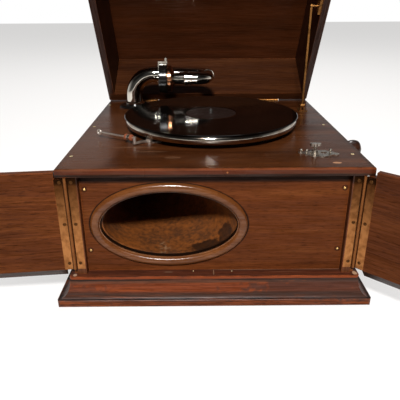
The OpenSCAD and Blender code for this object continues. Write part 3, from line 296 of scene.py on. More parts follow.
@dataclass(frozen=True)
class Mark:
    """A chip, a scratch, a stain or another small spot on a surface."""

    at: Point
    half: Point
    colour: str
    amount: float = 0.9
    ragged: float = 0.5


@dataclass(frozen=True)
class Mahogany:
    """French-polished mahogany: stained red-brown, filled pores, shellac rubbed to a soft gloss.

    It reads as a deep red-brown with fine darker streaks along the grain, short
    dark pores, and orange wood where edges have lost their stain.
    """

    name: str
    dark: str
    mid: str
    light: str
    grain: Axis
    streak_mm: float = 20.0
    turn: Point = (0.0, 0.0, 0.0)
    streaky: float = 0.45
    gloss: float = 0.36
    polish: float = 0.2
    wear: float = 0.6
    worn: str = "#a5562c"
    seed: float = 0.0
    curl: float = 0.5
    shade: Pair | None = None
    mouth_grime_and_shade_line: tuple[Point, Point] | None = None
    bands: tuple[Band, ...] = ()
    marks: tuple[Mark, ...] = ()

    def lumps(self, length: float, width: float) -> Point:
        """Size of a pattern drawn out along the grain."""
        return tuple(length if i == self.grain.value else width for i in range(3))

    def build(self) -> bpy.types.Material:
        """Make the material.

        Returns:
            The finished material.
        """
        s = Sheet(self.name)
        still = s.place
        if any(self.turn):
            # The board stands turned, so its grain is read in the way it was cut.
            s.place = s.add("Mapping", {"Vector": still, "Rotation": tuple(-radians(a) for a in self.turn)})
        figure = s.noise(self.lumps(240, self.streak_mm), 3.0, self.seed, self.curl)
        wood = s.add("ValToRGB", (figure,), ((0.25, self.dark), (0.5, self.mid), (0.75, self.light)))
        streaks = s.noise(self.lumps(48, 2.3), 3.0, self.seed + 5, 0.3 + self.curl * 0.3)
        wood = s.shaded(wood, self.streaky, streaks, (0.32, 0.5), (0.66, 1.08))
        # Real pores are 0.2 mm wide; they are drawn wider so that the render can show them.
        pores = s.noise(self.lumps(12, 1.3), 1.0, self.seed + 9, self.curl * 0.3)
        pore = s.add("ValToRGB", (pores,), ((0.3, 0.0), (0.46, 1.0)))
        wood = s.shaded(wood, self.streaky * 0.8, pore, (0.0, "#5c4638"), (1.0, "#ffffff"))
        cloud = s.noise((110, 110, 110), 2.0, self.seed + 2)
        wood = s.shaded(wood, 0.5, cloud, (0.3, 0.72), (0.7, 1.1))
        # The stain is rubbed off corners, here more and there less.
        patchy = s.add("MapRange", (s.noise((26, 26, 26), 3.0, self.seed + 3), 0.36, 0.62))
        rubbed = s.add("Math", (s.corners(1.6, 0.985, 0.86), patchy), operation="MULTIPLY")
        wood = s.film(wood, self.worn, rubbed, self.wear)
        s.place = still
        if self.shade is not None:
            # Painted shadow: the overhanging deck's cast shadow darkens the wood below it.
            wood = s.film(wood, "#120805", s.climb(Axis.Z, *self.shade), 0.82)
        for band in self.bands:
            wood = s.band(wood, band)
        if self.mouth_grime_and_shade_line is not None:
            # Painted shade, with old polish gathered in it, darkens where the ring meets the panel. A ramp
            # ends at 1, hence the half.
            share = s.add("Math", (s.reach(*self.mouth_grime_and_shade_line), 2.0), operation="DIVIDE")
            wood = s.film(wood, "#150a05", s.add("ValToRGB", (share,), ((0.5015, 1.0), (0.508, 0.0))))
        for mark in self.marks:
            wood = s.mark(wood, mark)
        # Polish sinks into the open grain, so the sheen comes in streaks.
        open_grain = s.add("MapRange", (streaks, 0.3, 0.7, 0.45, 1.5))
        height = s.add("Math", (streaks, 0.8, pore), operation="MULTIPLY_ADD")
        return s.make(Base_Color=wood, IOR=1.52,
                      Roughness=s.add("MapRange", (cloud, 0.3, 0.7, self.gloss - 0.05, self.gloss + 0.09)),
                      Specular_IOR_Level=s.add("Math", (open_grain, self.polish), operation="MULTIPLY"),
                      Normal=s.add("Bump", {"Strength": 0.4, "Distance": 0.1 * MM, "Height": height}))


@dataclass(frozen=True)
class Metal:
    """Bare, plated or lacquered metal with the marks that its making and its age leave.

    It reads as metal whose shine is broken by duller, browner patches.
    """

    name: str
    colour: str
    stain: str
    roughness: float
    stained: float = 0.4
    stain_mm: float = 12.0
    brushed: Point | None = None
    seed: float = 0.0
    shade: Pair | None = None
    metallic: float = 1.0
    hinge: tuple[float, float, float, float] | None = None
    worn_and_lit_edges: bool = False

    def build(self) -> bpy.types.Material:
        """Make the material.

        Returns:
            The finished material.
        """
        s = Sheet(self.name)
        spots = s.noise((self.stain_mm,) * 3, 5.0, self.seed, 0.3)
        colour = s.film(linear(self.colour), self.stain, s.add("MapRange", (spots, 0.42, 0.66)),
                        self.stained)
        rough = s.add("MapRange", (spots, 0.35, 0.7, self.roughness, min(1.0, self.roughness * 1.7)))
        height = spots
        if self.brushed:
            # Brush marks are finer than a pixel, so they are drawn a little coarser.
            height = s.noise(self.brushed, 2.0, self.seed + 3)
            colour = s.shaded(colour, 0.35, height, (0.3, 0.7), (0.7, 1.05))
        if self.shade is not None:
            # Painted shade and grime: the metal is painted darker towards the top, under the deck, and its
            # last centimetre nearly black as the deck's shadow.
            low, top = self.shade
            colour = s.film(colour, "#54402a", s.climb(Axis.Z, low, top), how="MULTIPLY")
            colour = s.film(colour, "#1a0f07", s.climb(Axis.Z, top - 13, top - 8), 0.8)
        if self.hinge is not None:
            # Painted shade and dirt in the hinge's grooves and joints.
            colour = self.hinge_shade_and_dirt(s, colour)
        if self.worn_and_lit_edges:
            # The edges of a small fitting are painted paler and made duller than its faces: rubbed by
            # handling, and a painted highlight where they catch the light.
            edge = s.corners(0.9, 0.99, 0.88)
            colour = s.film(colour, "#f4e9da", edge)
            rough = s.add("Math", (edge, 0.22, rough), operation="MULTIPLY_ADD")
        return s.make(Base_Color=colour, Roughness=rough, Metallic=self.metallic,
                      Normal=s.add("Bump", {"Strength": 0.35, "Distance": 0.04 * MM, "Height": height}))

    def hinge_shade_and_dirt(self, s: Sheet, colour: Socket) -> Socket:
        """Paint shade and dirt into the grooves beside a hinge's knuckles and the joints between them, and
        paint the knuckle a paler brass.
        """
        across, deep, foot, step = self.hinge
        both_sides = s.add("VectorMath", (s.place,), operation="ABSOLUTE")
        reach = s.reach((across, deep, 0), (1, 1, FAR), both_sides)
        tenth = s.add("Math", (reach, 10.0), operation="DIVIDE")
        groove = s.add("ValToRGB", (tenth,), ((0.225, 0.0), (0.25, 0.9), (0.34, 0.9), (0.38, 0.0)))
        height = s.add("SeparateXYZ", (s.place,)).outputs[Axis.Z.value]
        above = s.add("Math", (height, foot * MM), operation="SUBTRACT")
        knuckles = s.add("Math", (above, step * MM), operation="DIVIDE")
        # The fold is 0 at each whole step, where one knuckle meets the next.
        meeting = s.add("MapRange", (s.add("Math", (knuckles, 0.5), operation="PINGPONG"), 0.026, 0.014))
        near = s.add("MapRange", (reach, 3.4, 2.9))
        colour = s.film(colour, "#1d1008", s.add("Math", (meeting, near), operation="MULTIPLY"))
        colour = s.film(colour, "#c07a45", s.add("MapRange", (reach, 2.6, 2.45)), 0.85)
        return s.film(colour, "#1a0e07", groove)


@dataclass(frozen=True)
class Coating:
    """A covering that is not metal or polished wood: enamel, leather, paper, mica or stained ply.

    It reads as one colour that drifts into a second in small patches.
    """

    name: str
    colour: str
    second: str
    roughness: float
    grain_mm: float
    depth_mm: float = 0.05
    ior: float = 1.5
    amount: float = 0.5
    polish: float = 0.5
    seed: float = 0.0
    marks: tuple[Mark, ...] = ()

    def build(self) -> bpy.types.Material:
        """Make the material.

        Returns:
            The finished material.
        """
        s = Sheet(self.name)
        grain = s.noise((self.grain_mm,) * 3, 4.0, self.seed)
        broad = s.noise((self.grain_mm * 6,) * 3, 3.0, self.seed + 4)
        patches = s.add("Math", (broad, 0.8, grain), operation="MULTIPLY_ADD")
        colour = s.film(linear(self.colour), self.second, s.add("MapRange", (patches, 0.7, 1.1)),
                        self.amount)
        for mark in self.marks:
            colour = s.mark(colour, mark)
        rough = s.add("MapRange", (broad, 0.3, 0.7, self.roughness, min(1.0, self.roughness * 1.4)))
        return s.make(Base_Color=colour, Roughness=rough, IOR=self.ior, Specular_IOR_Level=self.polish,
                      Normal=s.add("Bump", {"Strength": 0.6, "Distance": self.depth_mm * MM,
                                            "Height": grain}))


@dataclass(frozen=True)
class ShellacDisc:
    """Pressed shellac record: near black, glossy, with fine rings of groove about its middle."""

    name: str
    centre: Pair

    def build(self) -> bpy.types.Material:
        """Make the material.

        Returns:
            The finished material.
        """
        s = Sheet(self.name)
        spot = s.add("Mapping", {"Vector": s.place, "Scale": (1, 1, 0),
                                 "Location": (-self.centre[0] * MM, -self.centre[1] * MM, 0)})
        reach = s.add("VectorMath", (spot,), operation="LENGTH").outputs["Value"]
        # Grooves lie 0.25 mm apart; they are drawn 1.3 mm apart so that the render can show them.
        rings = s.add("Math", (reach, 0.65 * MM), operation="PINGPONG")
        height = s.add("Math", (rings, 1500.0), operation="MULTIPLY")
        bands = s.add("TexNoise", {"W": reach, "Scale": 160.0, "Detail": 3.0}, noise_dimensions="1D")
        dust = s.add("MapRange", (s.noise((9, 9, 9), 5.0, 3.0), 0.55, 0.8))
        return s.make(Base_Color=s.film(linear("#080605"), "#211712", dust, 0.25), IOR=1.6,
                      Specular_IOR_Level=0.22, Roughness=s.add("MapRange", (bands, 0.35, 0.65, 0.05, 0.12)),
                      Normal=s.add("Bump", {"Strength": 0.3, "Distance": 0.004 * MM, "Height": height}))


Finish = Mahogany | Metal | Coating | ShellacDisc


@cache
def made(finish: Finish) -> bpy.types.Material:
    """Make a finish's material once, however many pieces wear it."""
    return finish.build()


# ---------------------------------------------------------------- modelling


def mode(name: str) -> None:
    """Change the active object's mode."""
    bpy.ops.object.mode_set(mode=name)


def select_all(how: str = "SELECT") -> None:
    """Select or deselect all of the mesh that is open in edit mode."""
    bpy.ops.mesh.select_all(action=how)


def deselect() -> None:
    """Leave nothing selected and no piece open."""
    if bpy.context.object and bpy.context.object.mode != "OBJECT":
        mode("OBJECT")
    for item in bpy.context.selected_objects:
        item.select_set(False)


def editing(piece: Piece, kind: str = "FACE") -> bmesh.types.BMesh:
    """Open a piece in edit mode with nothing selected.

    Args:
        piece: mesh object to open, or one that is open already.
        kind: what is to be picked, VERT, EDGE or FACE.

    Returns:
        The piece's edit mesh, for picking by place or normal.
    """
    bpy.context.view_layer.objects.active = piece
    if piece.mode != "EDIT":
        mode("EDIT")
    bpy.ops.mesh.select_mode(type=kind)
    select_all("DESELECT")
    return bmesh.from_edit_mesh(piece.data)


def pick(piece: Piece, mesh: bmesh.types.BMesh, chosen: list) -> None:
    """Select the chosen elements of a piece that is open in edit mode."""
    for element in chosen:
        element.select_set(True)
    mesh.select_flush_mode()
    bmesh.update_edit_mesh(piece.data)


def settle(piece: Piece, smooth: float) -> Piece:
    """Finish a mesh: apply its modifiers, merge doubles, face it outwards, bake its place and smooth it.

    Args:
        piece: mesh object.
        smooth: angle in degrees under which faces shade as one.

    Returns:
        The same piece.
    """
    deselect()
    piece.select_set(True)
    bpy.context.view_layer.objects.active = piece
    for modifier in list(piece.modifiers):
        bpy.ops.object.modifier_apply(modifier=modifier.name)
    mode("EDIT")
    select_all()
    bpy.ops.mesh.remove_doubles(threshold=MERGE)
    bpy.ops.mesh.normals_make_consistent(inside=False)
    mode("OBJECT")
    bpy.ops.object.transform_apply(location=True, rotation=True, scale=True)
    bpy.ops.object.shade_smooth_by_angle(angle=radians(smooth))
    deselect()
    return piece


def facing(way: Vector) -> Matrix:
    """Give the turn that points +Z along a way."""
    return UP.rotation_difference(way).to_matrix().to_4x4()


def chain(name: str, points: list[Vector]) -> Piece:
    """Draw an outline as a chain of points.

    Args:
        name: name of the new piece.
        points: corners of the outline, in metres.

    Returns:
        The new piece, open in edit mode with all of it selected.
    """
    deselect()
    bpy.ops.mesh.primitive_plane_add(size=MM, location=(0, 0, 0))
    piece = bpy.context.object
    piece.name = piece.data.name = name
    mode("EDIT")
    bpy.ops.mesh.select_mode(type="VERT")
    select_all()
    bpy.ops.mesh.merge(type="CENTER")
    bpy.ops.transform.translate(value=points[0])
    for here, there in zip(points, points[1:]):
        bpy.ops.mesh.extrude_vertices_move(TRANSFORM_OT_translate={"value": there - here})
    select_all()
    return piece


def turned(name: str, profile: list[Pair], centre: Vector, axis: Vector = UP, steps: int = 96,
           smooth: float = 40.0) -> Piece:
    """Turn a profile about an axis, as on a lathe.

    Args:
        name: name of the new piece.
        profile: radius and height of each corner, in millimetres.
        centre: foot of the axis.
        axis: direction of the axis.
        steps: number of faces round the piece.
        smooth: angle in degrees under which faces shade as one.

    Returns:
        The turned piece.
    """
    piece = chain(name, [mm(radius, 0, height) for radius, height in profile])
    bpy.ops.mesh.spin(steps=steps, angle=2 * pi, center=(0, 0, 0), axis=(0, 0, 1))
    mode("OBJECT")
    piece.data.transform(Matrix.Translation(centre) @ facing(axis))
    return settle(piece, smooth)


def lath(name: str, profile: list[Pair], start: float, end: float) -> Piece:
    """Draw out a moulding along X from its section.

    Args:
        name: name of the new piece.
        profile: Y and Z of each corner of the section, in millimetres.
        start: X of one end.
        end: X of the other end.

    Returns:
        The moulding.
    """
    piece = chain(name, [mm(start, *corner) for corner in profile])
    bpy.ops.mesh.edge_face_add()
    bpy.ops.mesh.extrude_region_move(TRANSFORM_OT_translate={"value": mm(end - start, 0, 0)})
    return settle(piece, 35.0)


def strike(node: str, start: Vector, way: Vector) -> Vector:
    """Find where a straight line meets a CAD node, for a fixing that sits on it.

    Args:
        node: the CAD node.
        start: where the line starts, in metres.
        way: the way it goes.

    Returns:
        The first point of the node on the line.
    """
    met, spot, _, _ = frame["nodes"][node].ray_cast(start, way)
    if not met:
        raise ValueError(f"the line from {start} misses {node}")
    return spot


def new_piece(name: str, mesh: bpy.types.Mesh) -> Piece:
    """Make a piece of its own from a copy of a mesh."""
    piece = bpy.data.objects.new(name, mesh.copy())
    piece.data.name = name
    bpy.context.collection.objects.link(piece)
    return piece


def join(pieces: list[Piece], name: str) -> Piece:
    """Join pieces into one object called name."""
    deselect()
    for piece in pieces:
        piece.select_set(True)
    bpy.context.view_layer.objects.active = pieces[0]
    bpy.ops.object.join()
    pieces[0].name = pieces[0].data.name = name
    deselect()
    return pieces[0]


def discard(piece: Piece) -> None:
    """Take a pattern piece out of the scene once it has been copied."""
    bpy.data.objects.remove(piece, do_unlink=True)


def middle_of(low: Point, high: Point) -> Vector:
    """Middle of a box."""
    return (Vector(low) + Vector(high)) / 2


class Assembly:
    """What every sub-assembly shares: dressing CAD nodes and placing new pieces."""

    body = "cabinet"

    def dress(self, finish: Finish, *nodes: str) -> None:
        """Give CAD nodes a finish."""
        for name in nodes:
            part = frame["nodes"][name]
            for slot in part.material_slots:
                slot.material = made(finish)
            if not part.material_slots:
                part.data.materials.append(made(finish))
            log.info("dressed %s in %s", name, finish.name)

    def place(self, piece: Piece, finish: Finish, slot: str, body: str | None = None,
              instead: tuple[str, ...] = ()) -> None:
        """Finish a new piece and let it ride on its body.

        Args:
            piece: modelled piece.
            finish: what it wears.
            slot: record's material slot that it belongs to; not used.
            body: CAD body that carries it, or None for this assembly's own.
            instead: CAD nodes that it stands for.
        """
        piece.data.materials.clear()
        piece.data.materials.append(made(finish))
        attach(piece, body or self.body)
        if instead:
            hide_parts(*instead)
        log.info("placed %s on %s", piece.name, body or self.body)


# ---------------------------------------------------------------- small fixings


@dataclass
class Fixings:
    """Pattern of the screws, modelled once at the origin with its head along +Z."""

    screw_r: float = 2.7
    screw_h: float = 0.9
    slot_w: float = 0.8
    slot_d: float = 0.5
    round_off: float = 0.42
    screw: Piece = field(init=False)

    def __post_init__(self) -> None:
        """Model the slotted screw."""
        self.screw = self.slotted_screw()

    def slotted_screw(self) -> Piece:
        """Model a domed screw head with a slot.

        Returns:
            The pattern screw.
        """
        deselect()
        bpy.ops.mesh.primitive_cylinder_add(vertices=20, radius=self.screw_r * MM, depth=self.screw_h * MM,
                                            location=mm(0, 0, self.screw_h / 2))
        screw = bpy.context.object
        screw.name = "screw_pattern"
        bpy.ops.object.transform_apply(location=True)
        mesh = editing(screw, "EDGE")
        near_top = self.screw_h * MM * 0.9
        pick(screw, mesh, [e for e in mesh.edges if all(v.co.z > near_top for v in e.verts)])
        bpy.ops.mesh.bevel(offset=self.round_off * MM, segments=3, profile=0.6)
        for side in (-1, 1):
            select_all()
            bpy.ops.mesh.bisect(plane_co=(side * self.slot_w / 2 * MM, 0, 0), plane_no=(1, 0, 0))
        mesh = editing(screw)
        inside = self.slot_w * 0.45 * MM
        pick(screw, mesh, [f for f in mesh.faces
                           if f.normal.z > 0.6 and abs(f.calc_center_median().x) < inside])
        bpy.ops.mesh.extrude_region_move(TRANSFORM_OT_translate={"value": (0, 0, -self.slot_d * MM)})
        return settle(screw, 30.0)

    def put(self, name: str, spots: list[Spot], size: float = 1.0) -> Piece:
        """Put screws at their places and join them.

        Args:
            name: name of the joined piece.
            spots: for each screw its place, the way its head points, and its slot's turn in degrees.
            size: scale of the screws against the pattern.

        Returns:
            One piece that holds all the screws.
        """
        made_here = []
        for i, (spot, way, turn) in enumerate(spots):
            screw = new_piece(f"{name}_{i}", self.screw.data)
            screw.data.transform(Matrix.Translation(spot) @ facing(way)
                                 @ Matrix.Rotation(radians(turn), 4, "Z") @ Matrix.Scale(size, 4))
            made_here.append(screw)
        return join(made_here, name)


# ---------------------------------------------------------------- sub-assemblies


@dataclass
class Case(Assembly):
    """Cabinet: base, sill, posts, sides, panel and deck."""

    deck_z: float = 215.0
    sill_z: float = 48.5
    screws_sunk: float = 0.62
    pins_sunk: float = 0.1
    deck_screws: tuple[Point, ...] = (
        (-209.5, -159.3, 20), (-209.5, 10.2, 65), (-212.5, 192.7, 110), (204.5, 14.2, 40),
        (204.5, -157.3, 150))
    sill_pins: tuple[Pair, ...] = ((-31.5, -209.7), (26.4, -210.5))
    panel_pin_x: tuple[float, ...] = (-183.7, 183.7)
    panel_pin_z: tuple[float, ...] = (181, 83.5)
    panel_y: float = -205.3
    # Middle and half size of the oval line of painted shade and old polish where the mouth's ring meets the
    # panel.
    mouth_grime_and_shade_line: tuple[Point, Point] = ((-66, 0, 124), (115.6, FAR, 67.2))
    hinge_axis: Pair = (235.3, 215.4)
    bead_r: float = 2.35
    back_y: float = 232.7
    strips: tuple[Pair, ...] = ((-218.0, -158.4), (-109.6, 109.6), (158.4, 218.0))

    def build(self, fixings: Fixings) -> None:
        """Dress the boards and put in the screws."""
        self.dress(Mahogany(
            "mahogany_base", "#44200f", "#6e3619", "#a04c1c", Axis.X, streak_mm=6, seed=3.1, streaky=0.95,
            gloss=0.34, polish=0.2, wear=0.85, worn="#9c5227", bands=(
                # Down the moulding: painted shade in the crease under the sill, a painted grey sheen at the
                # top of the cove, the cove's orange, a painted dark grey sheen below it, painted shade in
                # the groove above the foot, and painted shade where the foot meets the floor.
                Band(40.8, 44.0, "#160c08", 0.92), Band(36.5, 40.8, "#4d372a", 0.6, soft=2.5),
                Band(20.5, 36.5, "#8a3c18", 0.38, soft=6), Band(13.6, 21.5, "#2f211a", 0.8, soft=4),
                Band(12.0, 13.6, "#0f0805", 0.97), Band(0.0, 1.2, "#2a160c", 0.7)),
            marks=(Mark((165, -232, 29), (120, 30, 17), "#38251e", 0.7, 1.6),
                   Mark((-215, -232, 22), (50, 30, 12), "#38251e", 0.5, 1.6))), "plinth")
        self.dress(self.sill_finish(), "sill")
        self.dress(Mahogany("mahogany_sides", "#431f10", "#5f3119", "#784223", Axis.Y, seed=7.7, gloss=0.34),
                   "left_side", "right_side")
        self.dress(Mahogany("mahogany_back", "#3f2011", "#58301a", "#6b3f24", Axis.X, seed=9.3, gloss=0.5),
                   "back_board", "bottom_board")
        self.dress(Mahogany("mahogany_posts", "#3a1c0e", "#58301a", "#6f3f20", Axis.Z, seed=1.9, gloss=0.34,
                            shade=(189, 194)), "left_post", "right_post")
        halos = tuple(Mark((x, self.panel_y, z), (4.5, 4, 4.5), "#2b140a", 0.6, 1.0)
                      for x in self.panel_pin_x for z in self.panel_pin_z)
        self.dress(Mahogany("mahogany_panel", "#532a14", "#663417", "#75401d", Axis.X, streak_mm=17,
                            seed=12.4,
                            streaky=0.55, polish=0.08, shade=(188.4, 192.0), mouth_grime_and_shade_line=self.mouth_grime_and_shade_line,
                            marks=halos),
                   "front_panel")
        self.dress(self.deck_finish(), "deck")
        brass = Metal("yellow_brass_screws", "#f6e6b6", "#a88450", 0.42, stained=0.25, seed=2.0,
                      metallic=0.65)
        screws = [(mm(x, y, self.deck_z - self.screws_sunk), UP, turn) for x, y, turn in self.deck_screws]
        self.place(fixings.put("deck_screw_heads", screws), brass, "aged_brass", instead=("deck_screws",))
        self.dress(Metal("brass_panel_pins", "#d9b070", "#6d4a24", 0.28, seed=4.0), "panel_pins")
        pins = [(mm(x, y, self.sill_z - self.pins_sunk), UP, 0) for x, y in self.sill_pins]
        self.place(fixings.put("sill_pins", pins, 0.34), brass, "aged_brass")
        # The strips are darker than the case.
        strip = Mahogany("dark_dust_strip", "#150a05", "#221009", "#311a0e", Axis.X, seed=61.0, gloss=0.5)
        self.place(self.dust_strips(), strip, "walnut")

    def sill_finish(self) -> Finish:
        """Give the sill's finish, with its worn corners and the scratches on its top."""
        z = self.sill_z
        return Mahogany(
            "mahogany_sill", "#3a1c0f", "#52291a", "#6b3720", Axis.X, streak_mm=7, seed=4.4, streaky=0.7,
            gloss=0.4, wear=0.9, worn="#a5532a",
            # The dark stripe under the front edge's orange is painted shade.
            bands=(Band(44.4, 47.6, "#8c421f", 0.75), Band(42.0, 44.4, "#170c07", 0.9)),
            marks=(Mark((-208, -219, z - 1), (3, 3.5, 4), "#a98c74", 0.85, 0.9),
                   Mark((210, -218, z - 1), (3.5, 5, 4), "#b08a6a", 0.85, 0.9),
                   Mark((-1, -213, z), (0.7, 8, 3), "#84684f", 0.7),
                   Mark((50, -206.6, z), (56, 0.8, 3), "#7c5f49", 0.6, 0.8),
                   Mark((160, -206.6, z), (46, 0.8, 3), "#7c5f49", 0.6, 0.8),
                   Mark((-69, -212, z), (7, 0.9, 3), "#8a6f58", 0.6, 0.9),
                   Mark((110, -213, z), (26, 0.7, 3), "#6d4a34", 0.5, 0.9)))

    def deck_finish(self) -> Finish:
        """Give the deck's finish, with its rounded nose, its chips and its scuffs."""
        z = self.deck_z
        return Mahogany(
            "mahogany_deck", "#331809", "#4b2711", "#5f3418", Axis.X, streak_mm=26, seed=5.2, streaky=0.45,
            gloss=0.24, polish=0.17, wear=0.7, worn="#8a4826", bands=(
                Band(-235, -213.5, "#1c0e07", 0.6, Axis.X, 5.0),
                Band(213.5, 235, "#1c0e07", 0.6, Axis.X, 5.0),
                # Down the nose: painted shade on its rounded underside, the red-brown of its face, and an
                # orange line along its top edge that is worn and a painted highlight.
                Band(202, 206.8, "#150a06", 0.85, soft=2.5), Band(206.8, 212.2, "#572413", 0.6, soft=2.0),
                Band(212.2, 213.9, "#82401f", 0.6, soft=1.0),
                Band(-213.4, -210.8, "#1d0c05", 0.6, Axis.Y, 1.0)),
            # A painted sheen lightens the deck's left front.
            marks=(Mark((-188, -70, z), (46, 180, 8), "#64402d", 0.5, 0.3),
                   Mark((171.7, -195.5, z), (6.0, 3.4, 3), "#b0805c", 0.92, 0.4),
                   Mark((16.7, -216, 209), (1.3, 3, 1.3), "#a5673c", 0.8, 0.3),
                   Mark((-120, -116, z), (34, 1.6, 3), "#8a6a50", 0.45, 0.9),
                   Mark((-96, -140, z), (26, 1.4, 3), "#8a6a50", 0.35, 0.9),
                   Mark((-60, -168, z), (12, 5, 3), "#7a5a42", 0.3, 1.0),
                   Mark((60, -160, z), (14, 1.2, 3), "#1c0d06", 0.5, 0.9)))

    def dust_strips(self) -> Piece:
        """Draw the beaded strips that close the gap under the lid between its hinges.

        Returns:
            The three strips as one piece.
        """
        y, z = self.hinge_axis
        bead = [(y + self.bead_r * cos(radians(a)), z + self.bead_r * sin(radians(a)))
                for a in range(-80, 176, 16)]
        section = [(self.back_y + 0.05, 208.0), (y - 0.9, 208.0), (y - 0.5, 212.4)] + bead
        return join([lath(f"dust_strip_{i}", section, *ends) for i, ends in enumerate(self.strips)],
                    "lid_dust_strips")


@dataclass
class HornMouth(Assembly):
    """Horn and the moulded ring round its mouth."""

    mouth: Pair = (-66.0, 124.0)
    half: Pair = (98.0, 50.0)
    ring_half: Pair = (107.6, 59.4)
    ring_w: float = 14.4
    ring_out: float = 6.0
    panel_y: float = -205.3
    mouth_back: float = 8.2
    throat: Pair = (-156.0, 180.7)
    past_throat: float = 0.2
    tube: float = 15.0
    under: float = 203.0
    wall: float = 2.5
    rings: int = 28
    sides: int = 72

    def build(self) -> None:
        """Build and dress the ring and the horn."""
        ring = Mahogany("mahogany_ring", "#5c3115", "#6b3c1a", "#7b4924", Axis.X, streak_mm=20, seed=15.0,
                        streaky=0.35, gloss=0.19, polish=0.36, wear=0.3, worn="#b98a62")
        self.place(self.ring(), ring, "walnut", instead=("mouth_ring",))
        ply = Coating("stained_horn_ply", "#7b441b", "#38200f", 0.4, 6.0, depth_mm=0.15, amount=0.8,
                      seed=6.0, marks=(Mark((-76, -186, 84), (13, 26, 9), "#a08060", 0.4, 1.6),
                             Mark((-8, -193, 83), (40, 12, 11), "#160b05", 0.85, 1.2),
                             Mark((18, -187, 100), (12, 14, 20), "#1c0e06", 0.75, 1.2)))
        self.place(self.horn(), ply, "brown_panel", instead=("horn",))

    def ring(self) -> Piece:
        """Model the ring: an ellipse with a moulded section swept round it.

        Returns:
            The ring.
        """
        deselect()
        w, out = self.ring_w / 2, self.ring_out
        section = [(-w, -4.0), (-w, 0.2), (-w * 0.93, out * 0.42), (-w * 0.72, out * 0.76),
                   (-w * 0.4, out * 0.95),
                   (0, out), (w * 0.4, out * 0.93), (w * 0.7, out * 0.72), (w * 0.84, out * 0.45),
                   (w * 0.86, out * 0.3), (w, out * 0.26), (w, 0.0), (-w + 1.2, 0.0), (-w + 1.2, -4.0)]
        curve = bpy.data.curves.new("ring_section", "CURVE")
        line = curve.splines.new("POLY")
        line.points.add(len(section) - 1)
        for point, (across, rise) in zip(line.points, section):
            point.co = (across * MM, rise * MM, 0, 1)
        line.use_cyclic_u = True
        shape = bpy.data.objects.new("ring_section", curve)
        bpy.context.collection.objects.link(shape)
        bpy.ops.curve.primitive_bezier_circle_add(radius=1)
        ring = bpy.context.object
        ring.name = ring.data.name = "mouth_ring_moulding"
        ring.scale = (*mm(*self.ring_half), 1)
        bpy.ops.object.transform_apply(scale=True)
        for point in ring.data.splines[0].bezier_points:
            point.radius = 1.0
        ring.data.resolution_u = 40
        ring.data.bevel_mode = "OBJECT"
        ring.data.bevel_object = shape
        bpy.ops.object.convert(target="MESH")
        discard(shape)
        ring = bpy.context.object
        ring.data.transform(Matrix.Translation(mm(self.mouth[0], self.panel_y, self.mouth[1]))
                            @ Matrix.Rotation(radians(90), 4, "X"))
        return settle(ring, 40.0)

    def section(self, t: float) -> tuple[Vector, float, float, float]:
        """Give the horn's section at t, from 0 at the mouth to 1 at the throat.

        Args:
            t: place along the horn.

        Returns:
            Middle in millimetres, half width, half height and lean in degrees.
        """
        start, end = self.panel_y + self.mouth_back, self.throat[1] + self.past_throat
        slide = sin(radians(90 * min(1.0, t * 1.6)))
        middle = Vector((self.mouth[0] + (self.throat[0] - self.mouth[0]) * slide,
                         start + (end - start) * sin(radians(90 * t ** 0.92)),
                         self.mouth[1] + (self.under - self.mouth[1]) * t ** 5))
        width = self.tube + (self.half[0] - self.tube) * (1 - t) ** 2.4
        height = self.tube + (self.half[1] - self.tube) * (1 - t) ** 1.15
        return middle, width, height, 90 * t ** 3.2

    def horn(self) -> Piece:
        """Model the horn: rings bridged from mouth to throat, then given a wall.

        Returns:
            The horn.
        """
        rings = []
        for i in range(self.rings + 1):
            middle, width, height, lean = self.section(i / self.rings)
            deselect()
            bpy.ops.mesh.primitive_circle_add(vertices=self.sides, radius=1.0)
            ring = bpy.context.object
            ring.data.transform(Matrix.Translation(middle * MM) @ Matrix.Rotation(radians(90 + lean), 4, "X")
                                @ Matrix.Diagonal((width * MM, height * MM, 1, 1)))
            rings.append(ring)
        horn = join(rings, "horn_shell")
        editing(horn, "EDGE")
        select_all()
        bpy.ops.mesh.bridge_edge_loops()
        bpy.ops.mesh.normals_make_consistent(inside=False)
        mode("OBJECT")
        wall = horn.modifiers.new("wall", "SOLIDIFY")
        wall.thickness = self.wall * MM
        wall.offset = 1.0
        return settle(horn, 60.0)


